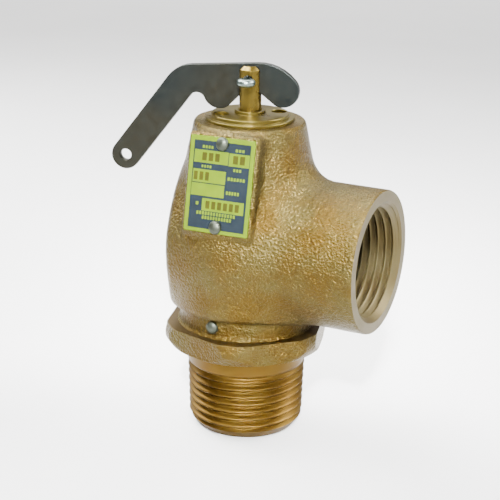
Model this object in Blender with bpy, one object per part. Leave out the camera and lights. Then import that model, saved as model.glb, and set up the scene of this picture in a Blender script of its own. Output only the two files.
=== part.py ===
"""Side-outlet pressure relief valve for 3/4 inch pipe, built as an assembly.

World frame: metres, +Z up the valve axis and +X along the side outlet. The origin
is on the valve axis, in the plane of the inlet thread's end face. The valve is
shut and its lift lever hangs loose. Lengths below are millimetres and angles are
degrees; every mesh is scaled to metres as it is made.
"""
import math

import bmesh
import bpy
from mathutils import Matrix, Vector

MM = 0.001
MERGE = 1e-8                    # metres, welds points that are the same
GAP = 0.3                       # clearance between pieces that touch
PAST = 1.0                      # how far a cutter runs past a face
SHARP_ANGLE = 30                # edges sharper than this aren't shaded smooth
EDGE = 0.3                      # small chamfer on turned edges
STEPS = 32                      # sides of a turned piece
FINE_STEPS = 48                 # sides of the body, the cap and the hexagon
SMALL_STEPS = 16                # sides of pins and small holes

# Pipe threads: 3/4 inch, 14 threads per inch, taper 1 in 16 on diameter.
PITCH = 1.814
TAPER = 1 / 32
THREAD_DEPTH = 1.3
MALE_CREST_R = 12.98            # at the inlet end
FEMALE_CREST_R = 11.83          # at the outlet face
THREAD_START = 2.0
MALE_TURNS = 7
FEMALE_TURNS = 6
THREAD_RUNOUT = 0.5             # from the last male crest to the plain neck
MOUTH_CHAMFER_R = 13.3

# Inlet base
END_FACE_R = (10.1, 11.5)
INLET_BORE_R = 9.5
THROAT_R = 7.9
THROAT_CONE_BOTTOM = 17.9
NECK_R = 13.45
HEX_BOTTOM = 19.9
HEX_TOP = 24.9
HEX_ACROSS_FLATS = 34.4
HEX_CORNERS = ((17.75, 19.9), (18.65, 20.8), (18.95, 22.1), (18.95, 23.3), (18.45, 24.9))
HEX_TURN = -74.5                # azimuth of one corner
SPIGOT_R = 12.8
SPIGOT_TOP = 31.0
NOZZLE_R = 9.8
SEAT_R = (7.9, 8.7)
SEAT_TOP = 34.6
SEAT_LIP = 0.4                  # height of the raised seat, and of the cone below it

# Body
COLLAR_R = 15.2
COLLAR_TOP = 28.8
BELLY = ((16.15, 28.8), (16.95, 29.8), (17.25, 31.6), (17.35, 36.5), (17.45, 43.0), (17.1, 48.3))
SHOULDER = ((12.55, 69.8), (12.25, 70.6), (11.75, 71.1))
BODY_TOP = 71.1
CHAMBER_R = 13.3
CHAMBER_CEILING_R = 12.0
CHAMBER_CONE_BOTTOM = 48.0
NECK_BORE_R = 8.6
NECK_FLOOR = 49.7
CAP_BORE_R = 9.5
CAP_BORE_FLOOR = 59.7
OUTLET_Z = 43.35
OUTLET_R = 15.8
OUTLET_FACE_X = 31.6
OUTLET_BORE_START_X = 10.0

# Nameplate, on a cast pad that leans back with the body
PLATE_SIZE = (14.8, 20.4)
PLATE_THICKNESS = 0.45
PLATE_CORNER_R = 0.35
PLATE_FRONT = 15.94             # from the axis, at the plate's middle height
PLATE_MIDDLE_Z = 60.0
PLATE_LEAN = 11.3
PLATE_TURN = 3.3                # about the axis, from -Y towards +X
PLATE_SCREW_V = 8.85            # screws above and below the plate's middle
PAD_MARGIN = 0.7
PAD_DEPTH = 6.0
PAD_DRAFT = 0.8
DRIVE_HEAD_R = 1.45
DRIVE_HEAD_HEIGHT = 1.0
DRIVE_HEAD_RIM = 0.15           # straight edge below the head's dome
DRIVE_DOME_ARCS = 4
DRIVE_SHANK_R = 0.7
DRIVE_SHANK_LENGTH = 4.0
DRIVE_TIP = 0.6
DRIVE_HOLE_R = DRIVE_SHANK_R + GAP
DRIVE_HOLE_DEPTH = 4.8

# Lock pin that stops the base unscrewing from the body
LOCK_PIN_AZIMUTH = -93.0
LOCK_PIN_Z = 27.1
LOCK_PIN_HOLE = (11.0, 19.0)    # inner and outer radius of its cutter

# Cap
CAP_SKIRT_R = (7.9, 9.2)
CAP_SKIRT_BOTTOM = 60.2
CAP_CEILING = 69.3
CAP_FLANGE_R = 9.7
CAP_FLANGE_TOP = 71.8
CAP_FLANGE_EDGE = 0.1
CAP_DISC_R = 8.6
CAP_TOP = 72.6
CAP_COLLAR_R = 3.4
CAP_COLLAR_TOP = 73.3
CAP_COLLAR_EDGE = 0.2
SPANNER_HOLE_R = 1.8
SPANNER_HOLE_AT = 6.1
SPANNER_HOLE_DEPTH = 2.2
SPANNER_AZIMUTH = 33.5

# Stem
STEM_R = 2.45
STEM_HOLE_R = 2.75
STEM_TOP = 82.9
STEM_BOTTOM = 42.0
STEM_CHAMFER = 0.8
SLOT_WIDTH = 2.2
SLOT_FLOOR = 71.8               # deep enough for the feet to swing through the fork
GROOVE_R = 1.8
GROOVE_Z = (42.8, 43.9)
RING_Z = (43.1, 43.6)
RING_R = (2.1, 3.5)
RING_MOUTH = 2.2
STOP_WASHER_Z = (44.0, 44.8)
STOP_WASHER_R = 3.6

# Lever
PIVOT_Z = 79.9
LEVER_PLANE = 13.5              # azimuth of the side of the plane over the outlet
LEVER_DROOP = 4.2               # the loose lever leans towards its handle
LEVER_THICKNESS = 1.6
HANDLE_SLOPE = 48.65
HANDLE_MIDDLE = 11.3            # from the pivot to the handle's middle line
HANDLE_HALF_WIDTH = 3.25
HANDLE_LENGTH = 32.0            # from the pivot to the hole, along the handle
HANDLE_HOLE_R = 1.3
PIVOT_HOLE_R = 1.25
FOOT_R = 3.55                   # the two rounded feet that pry on the cap
FOOT_BOTTOM = -6.2
LEVER_TOP = 3.6
BEND = (-16.2, 7.2)             # x and radius of the corner between top edge and handle
NOSE = (6.86, 10.2)             # x and radius of the corner over the outlet
FOOT_OUTER_X = (-9.59, 14.25)   # sides of the feet: handle side, outlet side
FOOT_INNER_X = 4.61
ARCH = (3.48, -3.1, 1.2)        # half width, height and corner radius between the feet
CROTCH = (-11.5, -0.9, 1.8)     # corner under the handle
TIP_ROUNDNESS = 0.99            # keeps the two tip arcs from meeting in one point

# Split pin: a half-round wire folded into a loop
PIN_WIRE_R = 0.85
PIN_HALF_SPLIT = 0.05
PIN_LOOP_X = 4.1
PIN_LOOP_R = 1.15
PIN_LOOP_SPAN = 115.5           # degrees of loop each side of its front
PIN_LOOP_ARCS = 14
PIN_LEG_END = (-5.9, 2.5)       # behind the stem, sprung apart
PIN_LEG_BEND = (-2.85, 1.4)     # x and radius of the bend behind the stem
PIN_LEG_FLARE = (2.7, 1.0)      # x and radius where the legs open into the loop
PIN_LOOP_NECK = (3.4, 0.9)
PIN_SECTION_SIDES = 6

# Working parts inside
SEAT_DISC_Z = (34.9, 36.5)
SEAT_DISC_R = (4.0, 9.6)
HOLDER_PLATE_Z = (36.8, 39.8)
HOLDER_R = 11.0
HOLDER_CHAMFER = 0.6
HOLDER_RIM_Z = 35.5
HOLDER_POCKET_R = 4.0
HOLDER_POCKET_TOP = 45.5
HUB_R = 5.2
HUB_TOP = 54.5
RETAINER_WASHER_Z = (33.9, 34.6)
RETAINER_WASHER_R = 6.6
RETAINER_HEAD_Z = (32.2, 33.6)
RETAINER_HEAD_R = 5.4
RETAINER_SHANK_R = 3.7
RETAINER_SHANK_TOP = 41.0
RETAINER_TIP = 0.4
RETAINER_SLOT = (1.2, 0.7)      # width and depth
GUIDE_BORE_R = 5.5
GUIDE_R = 8.3
GUIDE_Z = (47.6, 54.0)
GUIDE_FLANGE_R = 11.3
GUIDE_FLANGE_Z = (48.1, 49.4)
STEP_R = 7.3
STEP_BOSS_R = 4.5
STEP_PLATE = 1.4
STEP_BOSS = 1.3
LOWER_STEP_BOTTOM = 54.8
UPPER_STEP_TOP = 69.0
SPRING_R = 6.0
SPRING_WIRE_R = 0.65
SPRING_TURNS = 5.25
SPRING_SIDES = 6
SPRING_STEPS_PER_TURN = 16
SPRING_CLOSING = 0.055          # how much closer the end coils are, as a share of height
REG_RING_R = (10.1, 12.6)
REG_RING_Z = (31.6, 33.6)
REG_RING_NOTCHES = 12
REG_RING_NOTCH_DEPTH = 1.0
REG_RING_TOOTH = (0.0, 0.35, 0.7)   # shares of a notch's pitch that are at full radius
REG_RING_GROOVE = (0.72, 0.98)

ARC_STEP = 15.0                 # degrees of arc between points on an outline


def clear_scene():
    """Remove whatever the scene holds."""
    for old in list(bpy.data.objects):
        bpy.data.objects.remove(old, do_unlink=True)


def own_material(name, color, metallic, roughness):
    """A plain Principled material for one piece, named after it."""
    new = bpy.data.materials.new(name + "_finish")
    new.use_nodes = True
    shader = new.node_tree.nodes["Principled BSDF"]
    shader.inputs["Base Color"].default_value = (*color, 1.0)
    shader.inputs["Metallic"].default_value = metallic
    shader.inputs["Roughness"].default_value = roughness
    new.diffuse_color = (*color, 1.0)
    return new


BRONZE = (0.46, 0.32, 0.14)
BRASS = (0.62, 0.43, 0.13)
STEEL = (0.50, 0.51, 0.50)
SPRING_STEEL = (0.42, 0.42, 0.42)
PLATED_STEEL = (0.16, 0.17, 0.16)
PLATE_GREEN = (0.50, 0.60, 0.10)
SOFT_SEAT = (0.55, 0.16, 0.10)


def add_object(name, bm, color, metallic=1.0, roughness=0.4):
    """Turn a bmesh into a named object with smooth round faces."""
    bmesh.ops.remove_doubles(bm, verts=bm.verts, dist=MERGE)
    bmesh.ops.recalc_face_normals(bm, faces=bm.faces)
    mesh = bpy.data.meshes.new(name)
    bm.to_mesh(mesh)
    bm.free()
    mesh.shade_smooth()
    mesh.set_sharp_from_angle(angle=math.radians(SHARP_ANGLE))
    mesh.materials.append(own_material(name, color, metallic, roughness))
    obj = bpy.data.objects.new(name, mesh)
    bpy.context.collection.objects.link(obj)
    return obj


def spin_outline(bm, outline, steps):
    """Turn a closed (radius, height) outline about Z. Edges on the axis aren't turned."""
    verts = [bm.verts.new((r * MM, 0.0, z * MM)) for r, z in outline]
    edges = []
    for i, vert in enumerate(verts):
        if outline[i - 1][0] > 0 or outline[i][0] > 0:
            edges.append(bm.edges.new((verts[i - 1], vert)))
    bmesh.ops.spin(bm, geom=verts + edges, cent=(0, 0, 0), axis=(0, 0, 1),
                   angle=2 * math.pi, steps=steps, use_merge=True)


def turned(name, outline, color, steps=STEPS, **finish):
    """A turned piece on the valve axis."""
    bm = bmesh.new()
    spin_outline(bm, outline, steps)
    return add_object(name, bm, color, **finish)


def box_outline(inner_r, outer_r, low, high):
    """Outline of a plain ring, or of a plug where inner_r is 0."""
    return [(inner_r, low), (outer_r, low), (outer_r, high), (inner_r, high)]


def cylinder(name, radius, low, high, steps=STEPS):
    """A plain cutter or blank along Z."""
    return turned(name, box_outline(0, radius, low, high), BRONZE, steps)


def oblong(start, end, width):
    """Outline from start to end along X, width wide across it."""
    return [(start, -width / 2), (end, -width / 2), (end, width / 2), (start, width / 2)]


def prism(name, outline, low, high, color=BRONZE, **finish):
    """Extrude a closed (x, y) outline along Z."""
    bm = bmesh.new()
    face = bm.faces.new([bm.verts.new((x * MM, y * MM, low * MM)) for x, y in outline])
    top = bmesh.ops.extrude_face_region(bm, geom=[face])["geom"]
    moved = [item for item in top if isinstance(item, bmesh.types.BMVert)]
    bmesh.ops.translate(bm, verts=moved, vec=(0, 0, (high - low) * MM))
    return add_object(name, bm, color, **finish)


def transform_mesh(obj, matrix):
    """Place an object by moving its points, so that its own frame stays the world's."""
    obj.data.transform(matrix)
    return obj


def shift(x, y, z):
    """Move by millimetres."""
    return Matrix.Translation((x * MM, y * MM, z * MM))


def turn(angle, axis):
    """Rotate by degrees."""
    return Matrix.Rotation(math.radians(angle), 4, axis)


def boolean(target, tool, operation):
    """Combine target with tool, which is then kept as a hidden guide."""
    modifier = target.modifiers.new(operation.lower() + "_" + tool.name, "BOOLEAN")
    modifier.operation = operation
    modifier.solver = "EXACT"
    modifier.object = tool
    tool.hide_render = True
    tool.hide_set(True)
    tool.display_type = "WIRE"


def cut(target, *tools):
    """Take each tool away from target."""
    for tool in tools:
        boolean(target, tool, "DIFFERENCE")


def join(target, *tools):
    """Add each tool to target."""
    for tool in tools:
        boolean(target, tool, "UNION")


def move_origin(obj, x, y, z):
    """Put a moving piece's origin on its joint axis."""
    obj.data.transform(shift(-x, -y, -z))
    obj.location = Vector((x, y, z)) * MM


def rounded(corners, closed=True):
    """Outline through (x, y, radius) corners, each rounded by an arc of its radius."""
    points = []
    count = len(corners)
    for i, (x, y, radius) in enumerate(corners):
        corner = Vector((x, y))
        end = not closed and i in (0, count - 1)
        if radius == 0 or end:
            points.append(corner)
            continue
        back = (Vector(corners[i - 1][:2]) - corner).normalized()
        ahead = (Vector(corners[(i + 1) % count][:2]) - corner).normalized()
        opening = back.angle(ahead)
        middle = corner + (back + ahead).normalized() * radius / math.sin(opening / 2)
        start = corner + back * radius / math.tan(opening / 2) - middle
        sweep = math.pi - opening
        if back.cross(ahead) > 0:
            sweep = -sweep
        arcs = max(2, round(abs(math.degrees(sweep)) / ARC_STEP))
        for k in range(arcs + 1):
            points.append(middle + Matrix.Rotation(sweep * k / arcs, 2) @ start)
    return [tuple(point) for point in points]


def thread_rings(crest_at, root_at, start, turns):
    """Sharp thread flanks as rings, from start along the axis."""
    rings = []
    for k in range(turns):
        crest_z = start + k * PITCH
        root_z = crest_z + PITCH / 2
        rings += [(crest_at(crest_z), crest_z), (root_at(root_z), root_z)]
    crest_z = start + turns * PITCH
    return rings + [(crest_at(crest_z), crest_z)]


def male_crest(height):
    """Crest radius of the inlet's taper thread."""
    return MALE_CREST_R + TAPER * height


def male_root(height):
    """Root radius of the inlet's taper thread."""
    return male_crest(height) - THREAD_DEPTH


def radial_matrix(azimuth, height):
    """Places a piece made along +Z so that it points outwards at azimuth and height."""
    return shift(0, 0, height) @ turn(azimuth, "Z") @ turn(90, "Y")


def lever_matrix():
    """Maps the lever's own (x, y, thickness) onto its plane, pivot at the origin."""
    upright = turn(90, "X")
    return shift(0, 0, PIVOT_Z) @ turn(LEVER_PLANE, "Z") @ upright @ turn(LEVER_DROOP, "Z")


def plate_matrix():
    """Maps a plate's (x right, y up, z outwards) onto the nameplate's front plane."""
    lean = shift(0, -PLATE_FRONT, PLATE_MIDDLE_Z) @ turn(90 - PLATE_LEAN, "X")
    return turn(PLATE_TURN, "Z") @ lean


# ---------------------------------------------------------------- base and body

def hex_radius(radius, angle):
    """Radius at an angle after the hexagon's flats have cut the turned blank."""
    sector = math.radians(60)
    from_flat = (angle - math.radians(HEX_TURN)) % sector - sector / 2
    return min(radius, HEX_ACROSS_FLATS / 2 / math.cos(from_flat))


def inlet_base():
    """Hexagon nipple: male taper thread, plain neck, hexagon, spigot and raised seat."""
    outline = [(END_FACE_R[0], 0), (END_FACE_R[1], 0)]
    outline += thread_rings(male_crest, male_root, THREAD_START, MALE_TURNS)
    neck_bottom = THREAD_START + MALE_TURNS * PITCH + THREAD_RUNOUT
    outline += [(NECK_R, neck_bottom), (NECK_R, HEX_BOTTOM), *HEX_CORNERS]
    outline += [
        (SPIGOT_R, HEX_TOP), (SPIGOT_R, SPIGOT_TOP), (NOZZLE_R, SPIGOT_TOP),
        (NOZZLE_R, SEAT_TOP - 2 * SEAT_LIP), (SEAT_R[1], SEAT_TOP - SEAT_LIP),
        (SEAT_R[1], SEAT_TOP), (SEAT_R[0], SEAT_TOP), (THROAT_R, HEX_TOP),
        (INLET_BORE_R, THROAT_CONE_BOTTOM), (INLET_BORE_R, END_FACE_R[0] - INLET_BORE_R)]
    bm = bmesh.new()
    spin_outline(bm, outline, FINE_STEPS)
    for vert in bm.verts:
        radius = vert.co.xy.length / MM
        if radius > COLLAR_R:
            angle = math.atan2(vert.co.y, vert.co.x)
            scale = hex_radius(radius, angle) / radius
            vert.co.xy = vert.co.xy * scale
    base = add_object("inlet_base", bm, BRONZE, roughness=0.35)
    hole = cylinder("cut_base_pin_hole", DRIVE_HOLE_R, *LOCK_PIN_HOLE, SMALL_STEPS)
    cut(base, transform_mesh(hole, radial_matrix(LOCK_PIN_AZIMUTH, LOCK_PIN_Z)))
    return base


def female_crest(depth):
    """Crest radius of the outlet's taper thread at a depth inside its face."""
    return FEMALE_CREST_R - TAPER * depth


def female_root(depth):
    """Root radius of the outlet's taper thread at a depth inside its face."""
    return female_crest(depth) + THREAD_DEPTH


def outlet_bore():
    """Cutter for the outlet: chamfered mouth, thread and passage to the chamber."""
    chamfer = MOUTH_CHAMFER_R - FEMALE_CREST_R
    rings = thread_rings(female_crest, female_root, chamfer, FEMALE_TURNS)
    bore_end = OUTLET_FACE_X - OUTLET_BORE_START_X
    outline = [(0, -PAST), (MOUTH_CHAMFER_R + PAST, -PAST)] + rings
    outline += [(female_crest(bore_end), bore_end), (0, bore_end)]
    bore = turned("cut_outlet_bore", outline, BRONZE)
    facing = shift(OUTLET_FACE_X, 0, OUTLET_Z) @ turn(-90, "Y")
    return transform_mesh(bore, facing)


def nameplate_pad():
    """Cast pad behind the nameplate, with drafted sides."""
    width, height = (side + 2 * PAD_MARGIN for side in PLATE_SIZE)
    face = -PLATE_THICKNESS - GAP
    bm = bmesh.new()
    bmesh.ops.create_cube(bm, size=1.0)
    for vert in bm.verts:
        front = vert.co.z > 0
        grow = 0 if front else 2 * PAD_DRAFT
        depth = face if front else face - PAD_DEPTH
        vert.co = Vector((vert.co.x * (width + grow), vert.co.y * (height + grow), depth)) * MM
    pad = add_object("join_nameplate_pad", bm, BRONZE)
    return transform_mesh(pad, plate_matrix())


def drive_hole(name, v):
    """Cutter for a drive screw's hole at height v on the nameplate."""
    hole = cylinder(name, DRIVE_HOLE_R, -DRIVE_HOLE_DEPTH, PAST, SMALL_STEPS)
    return transform_mesh(hole, plate_matrix() @ shift(0, v, 0))


def valve_body():
    """Cast bronze body: collar, belly, cone, outlet boss and nameplate pad."""
    outer = [
        (0, HEX_TOP + GAP), (COLLAR_R, HEX_TOP + GAP), (COLLAR_R, COLLAR_TOP),
        *BELLY, *SHOULDER, (0, BODY_TOP)]
    spigot_hole_r = SPIGOT_R + GAP
    inner = [
        (0, HEX_TOP - PAST), (spigot_hole_r, HEX_TOP - PAST), (spigot_hole_r, SPIGOT_TOP),
        (CHAMBER_R, SPIGOT_TOP + EDGE), (CHAMBER_R, CHAMBER_CONE_BOTTOM),
        (CHAMBER_CEILING_R, NECK_FLOOR), (NECK_BORE_R, NECK_FLOOR),
        (NECK_BORE_R, CAP_BORE_FLOOR - (CAP_BORE_R - NECK_BORE_R)),
        (CAP_BORE_R, CAP_BORE_FLOOR), (CAP_BORE_R, BODY_TOP + PAST), (0, BODY_TOP + PAST)]
    body = turned("valve_body", outer, BRONZE, FINE_STEPS, roughness=0.45)
    boss = cylinder("join_outlet_boss", OUTLET_R, 0, OUTLET_FACE_X, FINE_STEPS)
    transform_mesh(boss, shift(0, 0, OUTLET_Z) @ turn(90, "Y"))
    join(body, boss, nameplate_pad())
    pin_hole = cylinder("cut_body_pin_hole", DRIVE_HOLE_R, *LOCK_PIN_HOLE, SMALL_STEPS)
    transform_mesh(pin_hole, radial_matrix(LOCK_PIN_AZIMUTH, LOCK_PIN_Z))
    cut(body, turned("cut_body_inside", inner, BRONZE), outlet_bore(), pin_hole,
        drive_hole("cut_upper_screw_hole", PLATE_SCREW_V),
        drive_hole("cut_lower_screw_hole", -PLATE_SCREW_V))
    return body


def drive_outline(head_base):
    """Outline of a round-head drive screw along +Z, its head's underside at head_base."""
    rim = head_base + DRIVE_HEAD_RIM
    dome = []
    for k in range(DRIVE_DOME_ARCS):
        angle = math.pi / 2 * k / DRIVE_DOME_ARCS
        rise = (DRIVE_HEAD_HEIGHT - DRIVE_HEAD_RIM) * math.sin(angle)
        dome.append((DRIVE_HEAD_R * math.cos(angle), rim + rise))
    tip = head_base - DRIVE_SHANK_LENGTH
    shank = [(0, tip), (DRIVE_SHANK_R - EDGE, tip), (DRIVE_SHANK_R, tip + DRIVE_TIP)]
    head = [(DRIVE_SHANK_R, head_base), (DRIVE_HEAD_R, head_base), *dome]
    return shank + head + [(0, head_base + DRIVE_HEAD_HEIGHT)]


def body_lock_pin():
    """Drive pin through the body's collar into the base's spigot."""
    pin = turned("body_lock_pin", drive_outline(COLLAR_R + GAP), STEEL, SMALL_STEPS, roughness=0.3)
    return transform_mesh(pin, radial_matrix(LOCK_PIN_AZIMUTH, LOCK_PIN_Z))


def nameplate():
    """Thin plate with two screw holes."""
    x, y = (side / 2 for side in PLATE_SIZE)
    corners = ((-x, -y), (x, -y), (x, y), (-x, y))
    outline = rounded([(*corner, PLATE_CORNER_R) for corner in corners])
    plate = prism("nameplate", outline, -PLATE_THICKNESS, 0, PLATE_GREEN, metallic=0.3)
    transform_mesh(plate, plate_matrix())
    for end, v in (("upper", PLATE_SCREW_V), ("lower", -PLATE_SCREW_V)):
        cut(plate, drive_hole("cut_plate_" + end, v))
    return plate


def nameplate_screw(name, v):
    """Round-head drive screw that holds one end of the nameplate."""
    screw = turned(name, drive_outline(GAP), STEEL, SMALL_STEPS, roughness=0.3)
    return transform_mesh(screw, plate_matrix() @ shift(0, v, 0))


# ---------------------------------------------------------------- cap and spring

def bonnet_cap():
    """Threaded cap that sets the spring: skirt, flange, disc and stem collar."""
    outline = [
        (CAP_SKIRT_R[0], CAP_SKIRT_BOTTOM), (CAP_SKIRT_R[1], CAP_SKIRT_BOTTOM),
        (CAP_SKIRT_R[1], BODY_TOP + GAP), (CAP_FLANGE_R, BODY_TOP + GAP),
        (CAP_FLANGE_R, CAP_FLANGE_TOP - CAP_FLANGE_EDGE),
        (CAP_FLANGE_R - CAP_FLANGE_EDGE, CAP_FLANGE_TOP),
        (CAP_DISC_R, CAP_FLANGE_TOP), (CAP_DISC_R, CAP_TOP - EDGE),
        (CAP_DISC_R - EDGE, CAP_TOP), (CAP_COLLAR_R, CAP_TOP),
        (CAP_COLLAR_R, CAP_COLLAR_TOP - CAP_COLLAR_EDGE),
        (CAP_COLLAR_R - CAP_COLLAR_EDGE, CAP_COLLAR_TOP),
        (STEM_HOLE_R, CAP_COLLAR_TOP), (STEM_HOLE_R, CAP_CEILING),
        (CAP_SKIRT_R[0], CAP_CEILING)]
    cap = turned("bonnet_cap", outline, BRASS, FINE_STEPS, roughness=0.25)
    for k in range(2):
        hole = cylinder("cut_spanner_hole_%d" % k, SPANNER_HOLE_R,
                        CAP_TOP - SPANNER_HOLE_DEPTH, CAP_TOP + PAST, SMALL_STEPS)
        around = turn(SPANNER_AZIMUTH + 180 * k, "Z") @ shift(SPANNER_HOLE_AT, 0, 0)
        cut(cap, transform_mesh(hole, around))
    return cap


def lower_spring_step():
    """Flanged washer on the disc holder's hub."""
    plate_top = LOWER_STEP_BOTTOM + STEP_PLATE
    outline = [
        (STEM_HOLE_R, LOWER_STEP_BOTTOM), (STEP_R, LOWER_STEP_BOTTOM), (STEP_R, plate_top),
        (STEP_BOSS_R, plate_top), (STEP_BOSS_R - EDGE, plate_top + STEP_BOSS),
        (STEM_HOLE_R, plate_top + STEP_BOSS)]
    return turned("lower_spring_step", outline, BRASS)


def upper_spring_step():
    """Flanged washer under the cap's ceiling."""
    plate_bottom = UPPER_STEP_TOP - STEP_PLATE
    outline = [
        (STEM_HOLE_R, UPPER_STEP_TOP), (STEP_R, UPPER_STEP_TOP), (STEP_R, plate_bottom),
        (STEP_BOSS_R, plate_bottom), (STEP_BOSS_R - EDGE, plate_bottom - STEP_BOSS),
        (STEM_HOLE_R, plate_bottom - STEP_BOSS)]
    return turned("upper_spring_step", outline, BRASS)


def spring_height(share):
    """Height share along the spring: the end coils are wound closer than the middle."""
    return share - SPRING_CLOSING * math.sin(2 * math.pi * share)


def main_spring():
    """Compression spring: a round wire wound about the stem."""
    low = LOWER_STEP_BOTTOM + STEP_PLATE + GAP + SPRING_WIRE_R
    high = UPPER_STEP_TOP - STEP_PLATE - GAP - SPRING_WIRE_R
    count = round(SPRING_TURNS * SPRING_STEPS_PER_TURN)
    bm = bmesh.new()
    rings = []
    for i in range(count + 1):
        share = i / count
        around = Matrix.Rotation(2 * math.pi * SPRING_TURNS * share, 3, "Z")
        height = low + (high - low) * spring_height(share)
        ring = []
        for k in range(SPRING_SIDES):
            angle = 2 * math.pi * k / SPRING_SIDES
            point = around @ Vector((SPRING_R + SPRING_WIRE_R * math.cos(angle), 0,
                                     SPRING_WIRE_R * math.sin(angle)))
            ring.append(bm.verts.new((point + Vector((0, 0, height))) * MM))
        rings.append(ring)
    for ring, following in zip(rings, rings[1:]):
        for k in range(SPRING_SIDES):
            bm.faces.new((ring[k - 1], ring[k], following[k], following[k - 1]))
    bm.faces.new(rings[0])
    bm.faces.new(rings[-1])
    return add_object("main_spring", bm, SPRING_STEEL, roughness=0.3)


# ---------------------------------------------------------------- disc and guide

def disc_guide():
    """Flanged bush in which the disc holder's hub slides."""
    outline = [
        (GUIDE_BORE_R, GUIDE_Z[0]), (GUIDE_R, GUIDE_Z[0]), (GUIDE_R, GUIDE_FLANGE_Z[0]),
        (GUIDE_FLANGE_R, GUIDE_FLANGE_Z[0]), (GUIDE_FLANGE_R, GUIDE_FLANGE_Z[1]),
        (GUIDE_R, GUIDE_FLANGE_Z[1]), (GUIDE_R, GUIDE_Z[1]), (GUIDE_BORE_R, GUIDE_Z[1])]
    return turned("disc_guide", outline, BRASS)


def disc_holder():
    """Plate with a rim round the soft disc, and a hub that takes the stem's end."""
    rim_r = SEAT_DISC_R[1] + GAP
    outline = [
        (rim_r, HOLDER_RIM_Z), (HOLDER_R, HOLDER_RIM_Z),
        (HOLDER_R, HOLDER_PLATE_Z[1] - HOLDER_CHAMFER),
        (HOLDER_R - HOLDER_CHAMFER, HOLDER_PLATE_Z[1]), (HUB_R, HOLDER_PLATE_Z[1]), (HUB_R, HUB_TOP),
        (STEM_HOLE_R, HUB_TOP), (STEM_HOLE_R, HOLDER_POCKET_TOP),
        (HOLDER_POCKET_R, HOLDER_POCKET_TOP), (HOLDER_POCKET_R, HOLDER_PLATE_Z[0]),
        (rim_r, HOLDER_PLATE_Z[0])]
    return turned("disc_holder", outline, BRASS)


def seat_disc():
    """Soft disc that closes on the nozzle's seat."""
    return turned("seat_disc", box_outline(*SEAT_DISC_R, *SEAT_DISC_Z), SOFT_SEAT,
                  metallic=0.0, roughness=0.6)


def disc_retainer_washer():
    """Washer between the soft disc and its screw."""
    outline = box_outline(HOLDER_POCKET_R, RETAINER_WASHER_R, *RETAINER_WASHER_Z)
    return turned("disc_retainer_washer", outline, STEEL)


def disc_retainer_screw():
    """Slotted screw that holds the soft disc and closes the holder's pocket."""
    low, high = RETAINER_HEAD_Z
    outline = [
        (0, low), (RETAINER_HEAD_R - EDGE, low), (RETAINER_HEAD_R, low + EDGE),
        (RETAINER_HEAD_R, high), (RETAINER_SHANK_R, high),
        (RETAINER_SHANK_R, RETAINER_SHANK_TOP - RETAINER_TIP),
        (RETAINER_SHANK_R - RETAINER_TIP, RETAINER_SHANK_TOP), (0, RETAINER_SHANK_TOP)]
    screw = turned("disc_retainer_screw", outline, STEEL)
    width, depth = RETAINER_SLOT
    slot = oblong(-RETAINER_HEAD_R - PAST, RETAINER_HEAD_R + PAST, width)
    cut(screw, prism("cut_screw_slot", slot, low - PAST, low + depth))
    return screw


def regulating_ring():
    """Notched ring on the nozzle that sets how sharply the valve closes."""
    inner_r, outer_r = REG_RING_R
    step = 360 / REG_RING_NOTCHES
    tooth = [(share, outer_r) for share in REG_RING_TOOTH]
    tooth += [(share, outer_r - REG_RING_NOTCH_DEPTH) for share in REG_RING_GROOVE]
    outline = []
    for k in range(REG_RING_NOTCHES):
        for share, radius in tooth:
            angle = math.radians(step * (k + share))
            outline.append((radius * math.cos(angle), radius * math.sin(angle)))
    low, high = REG_RING_Z
    ring = prism("regulating_ring", outline, low, high, BRASS)
    cut(ring, cylinder("cut_regulating_ring", inner_r, low - PAST, high + PAST))
    return ring


# ---------------------------------------------------------------- stem and lever

def stem():
    """Rod with a forked top for the lever and a groove for its retaining ring."""
    outline = [
        (0, STEM_BOTTOM), (STEM_R - EDGE, STEM_BOTTOM), (STEM_R, STEM_BOTTOM + EDGE),
        (STEM_R, GROOVE_Z[0]), (GROOVE_R, GROOVE_Z[0]), (GROOVE_R, GROOVE_Z[1]),
        (STEM_R, GROOVE_Z[1]), (STEM_R, STEM_TOP - STEM_CHAMFER),
        (STEM_R - STEM_CHAMFER, STEM_TOP), (0, STEM_TOP)]
    rod = turned("stem", outline, BRASS, roughness=0.25)
    reach = STEM_R + PAST
    slot = prism("cut_stem_slot", oblong(-reach, reach, SLOT_WIDTH), SLOT_FLOOR, STEM_TOP + PAST)
    transform_mesh(slot, turn(LEVER_PLANE, "Z"))
    hole = cylinder("cut_stem_hole", PIVOT_HOLE_R, -reach, reach, SMALL_STEPS)
    cut(rod, slot, transform_mesh(hole, lever_matrix()))
    return rod


def stem_retaining_ring():
    """Open ring snapped into the stem's groove."""
    ring = turned("stem_retaining_ring", box_outline(*RING_R, *RING_Z), SPRING_STEEL)
    low, high = RING_Z
    mouth = oblong(0, RING_R[1] + PAST, RING_MOUTH)
    cut(ring, prism("cut_ring_mouth", mouth, low - PAST, high + PAST))
    return ring


def stem_stop_washer():
    """Washer that carries the stem's pull into the disc holder."""
    outline = box_outline(STEM_HOLE_R, STOP_WASHER_R, *STOP_WASHER_Z)
    return turned("stem_stop_washer", outline, STEEL)


def handle_point(along, across):
    """Point on the handle: along its slope from the pivot, and across from its middle."""
    slope = math.radians(HANDLE_SLOPE)
    run = Vector((-math.cos(slope), -math.sin(slope)))
    out = Vector((-math.sin(slope), math.cos(slope)))
    return run * along + out * (HANDLE_MIDDLE + across)


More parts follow.
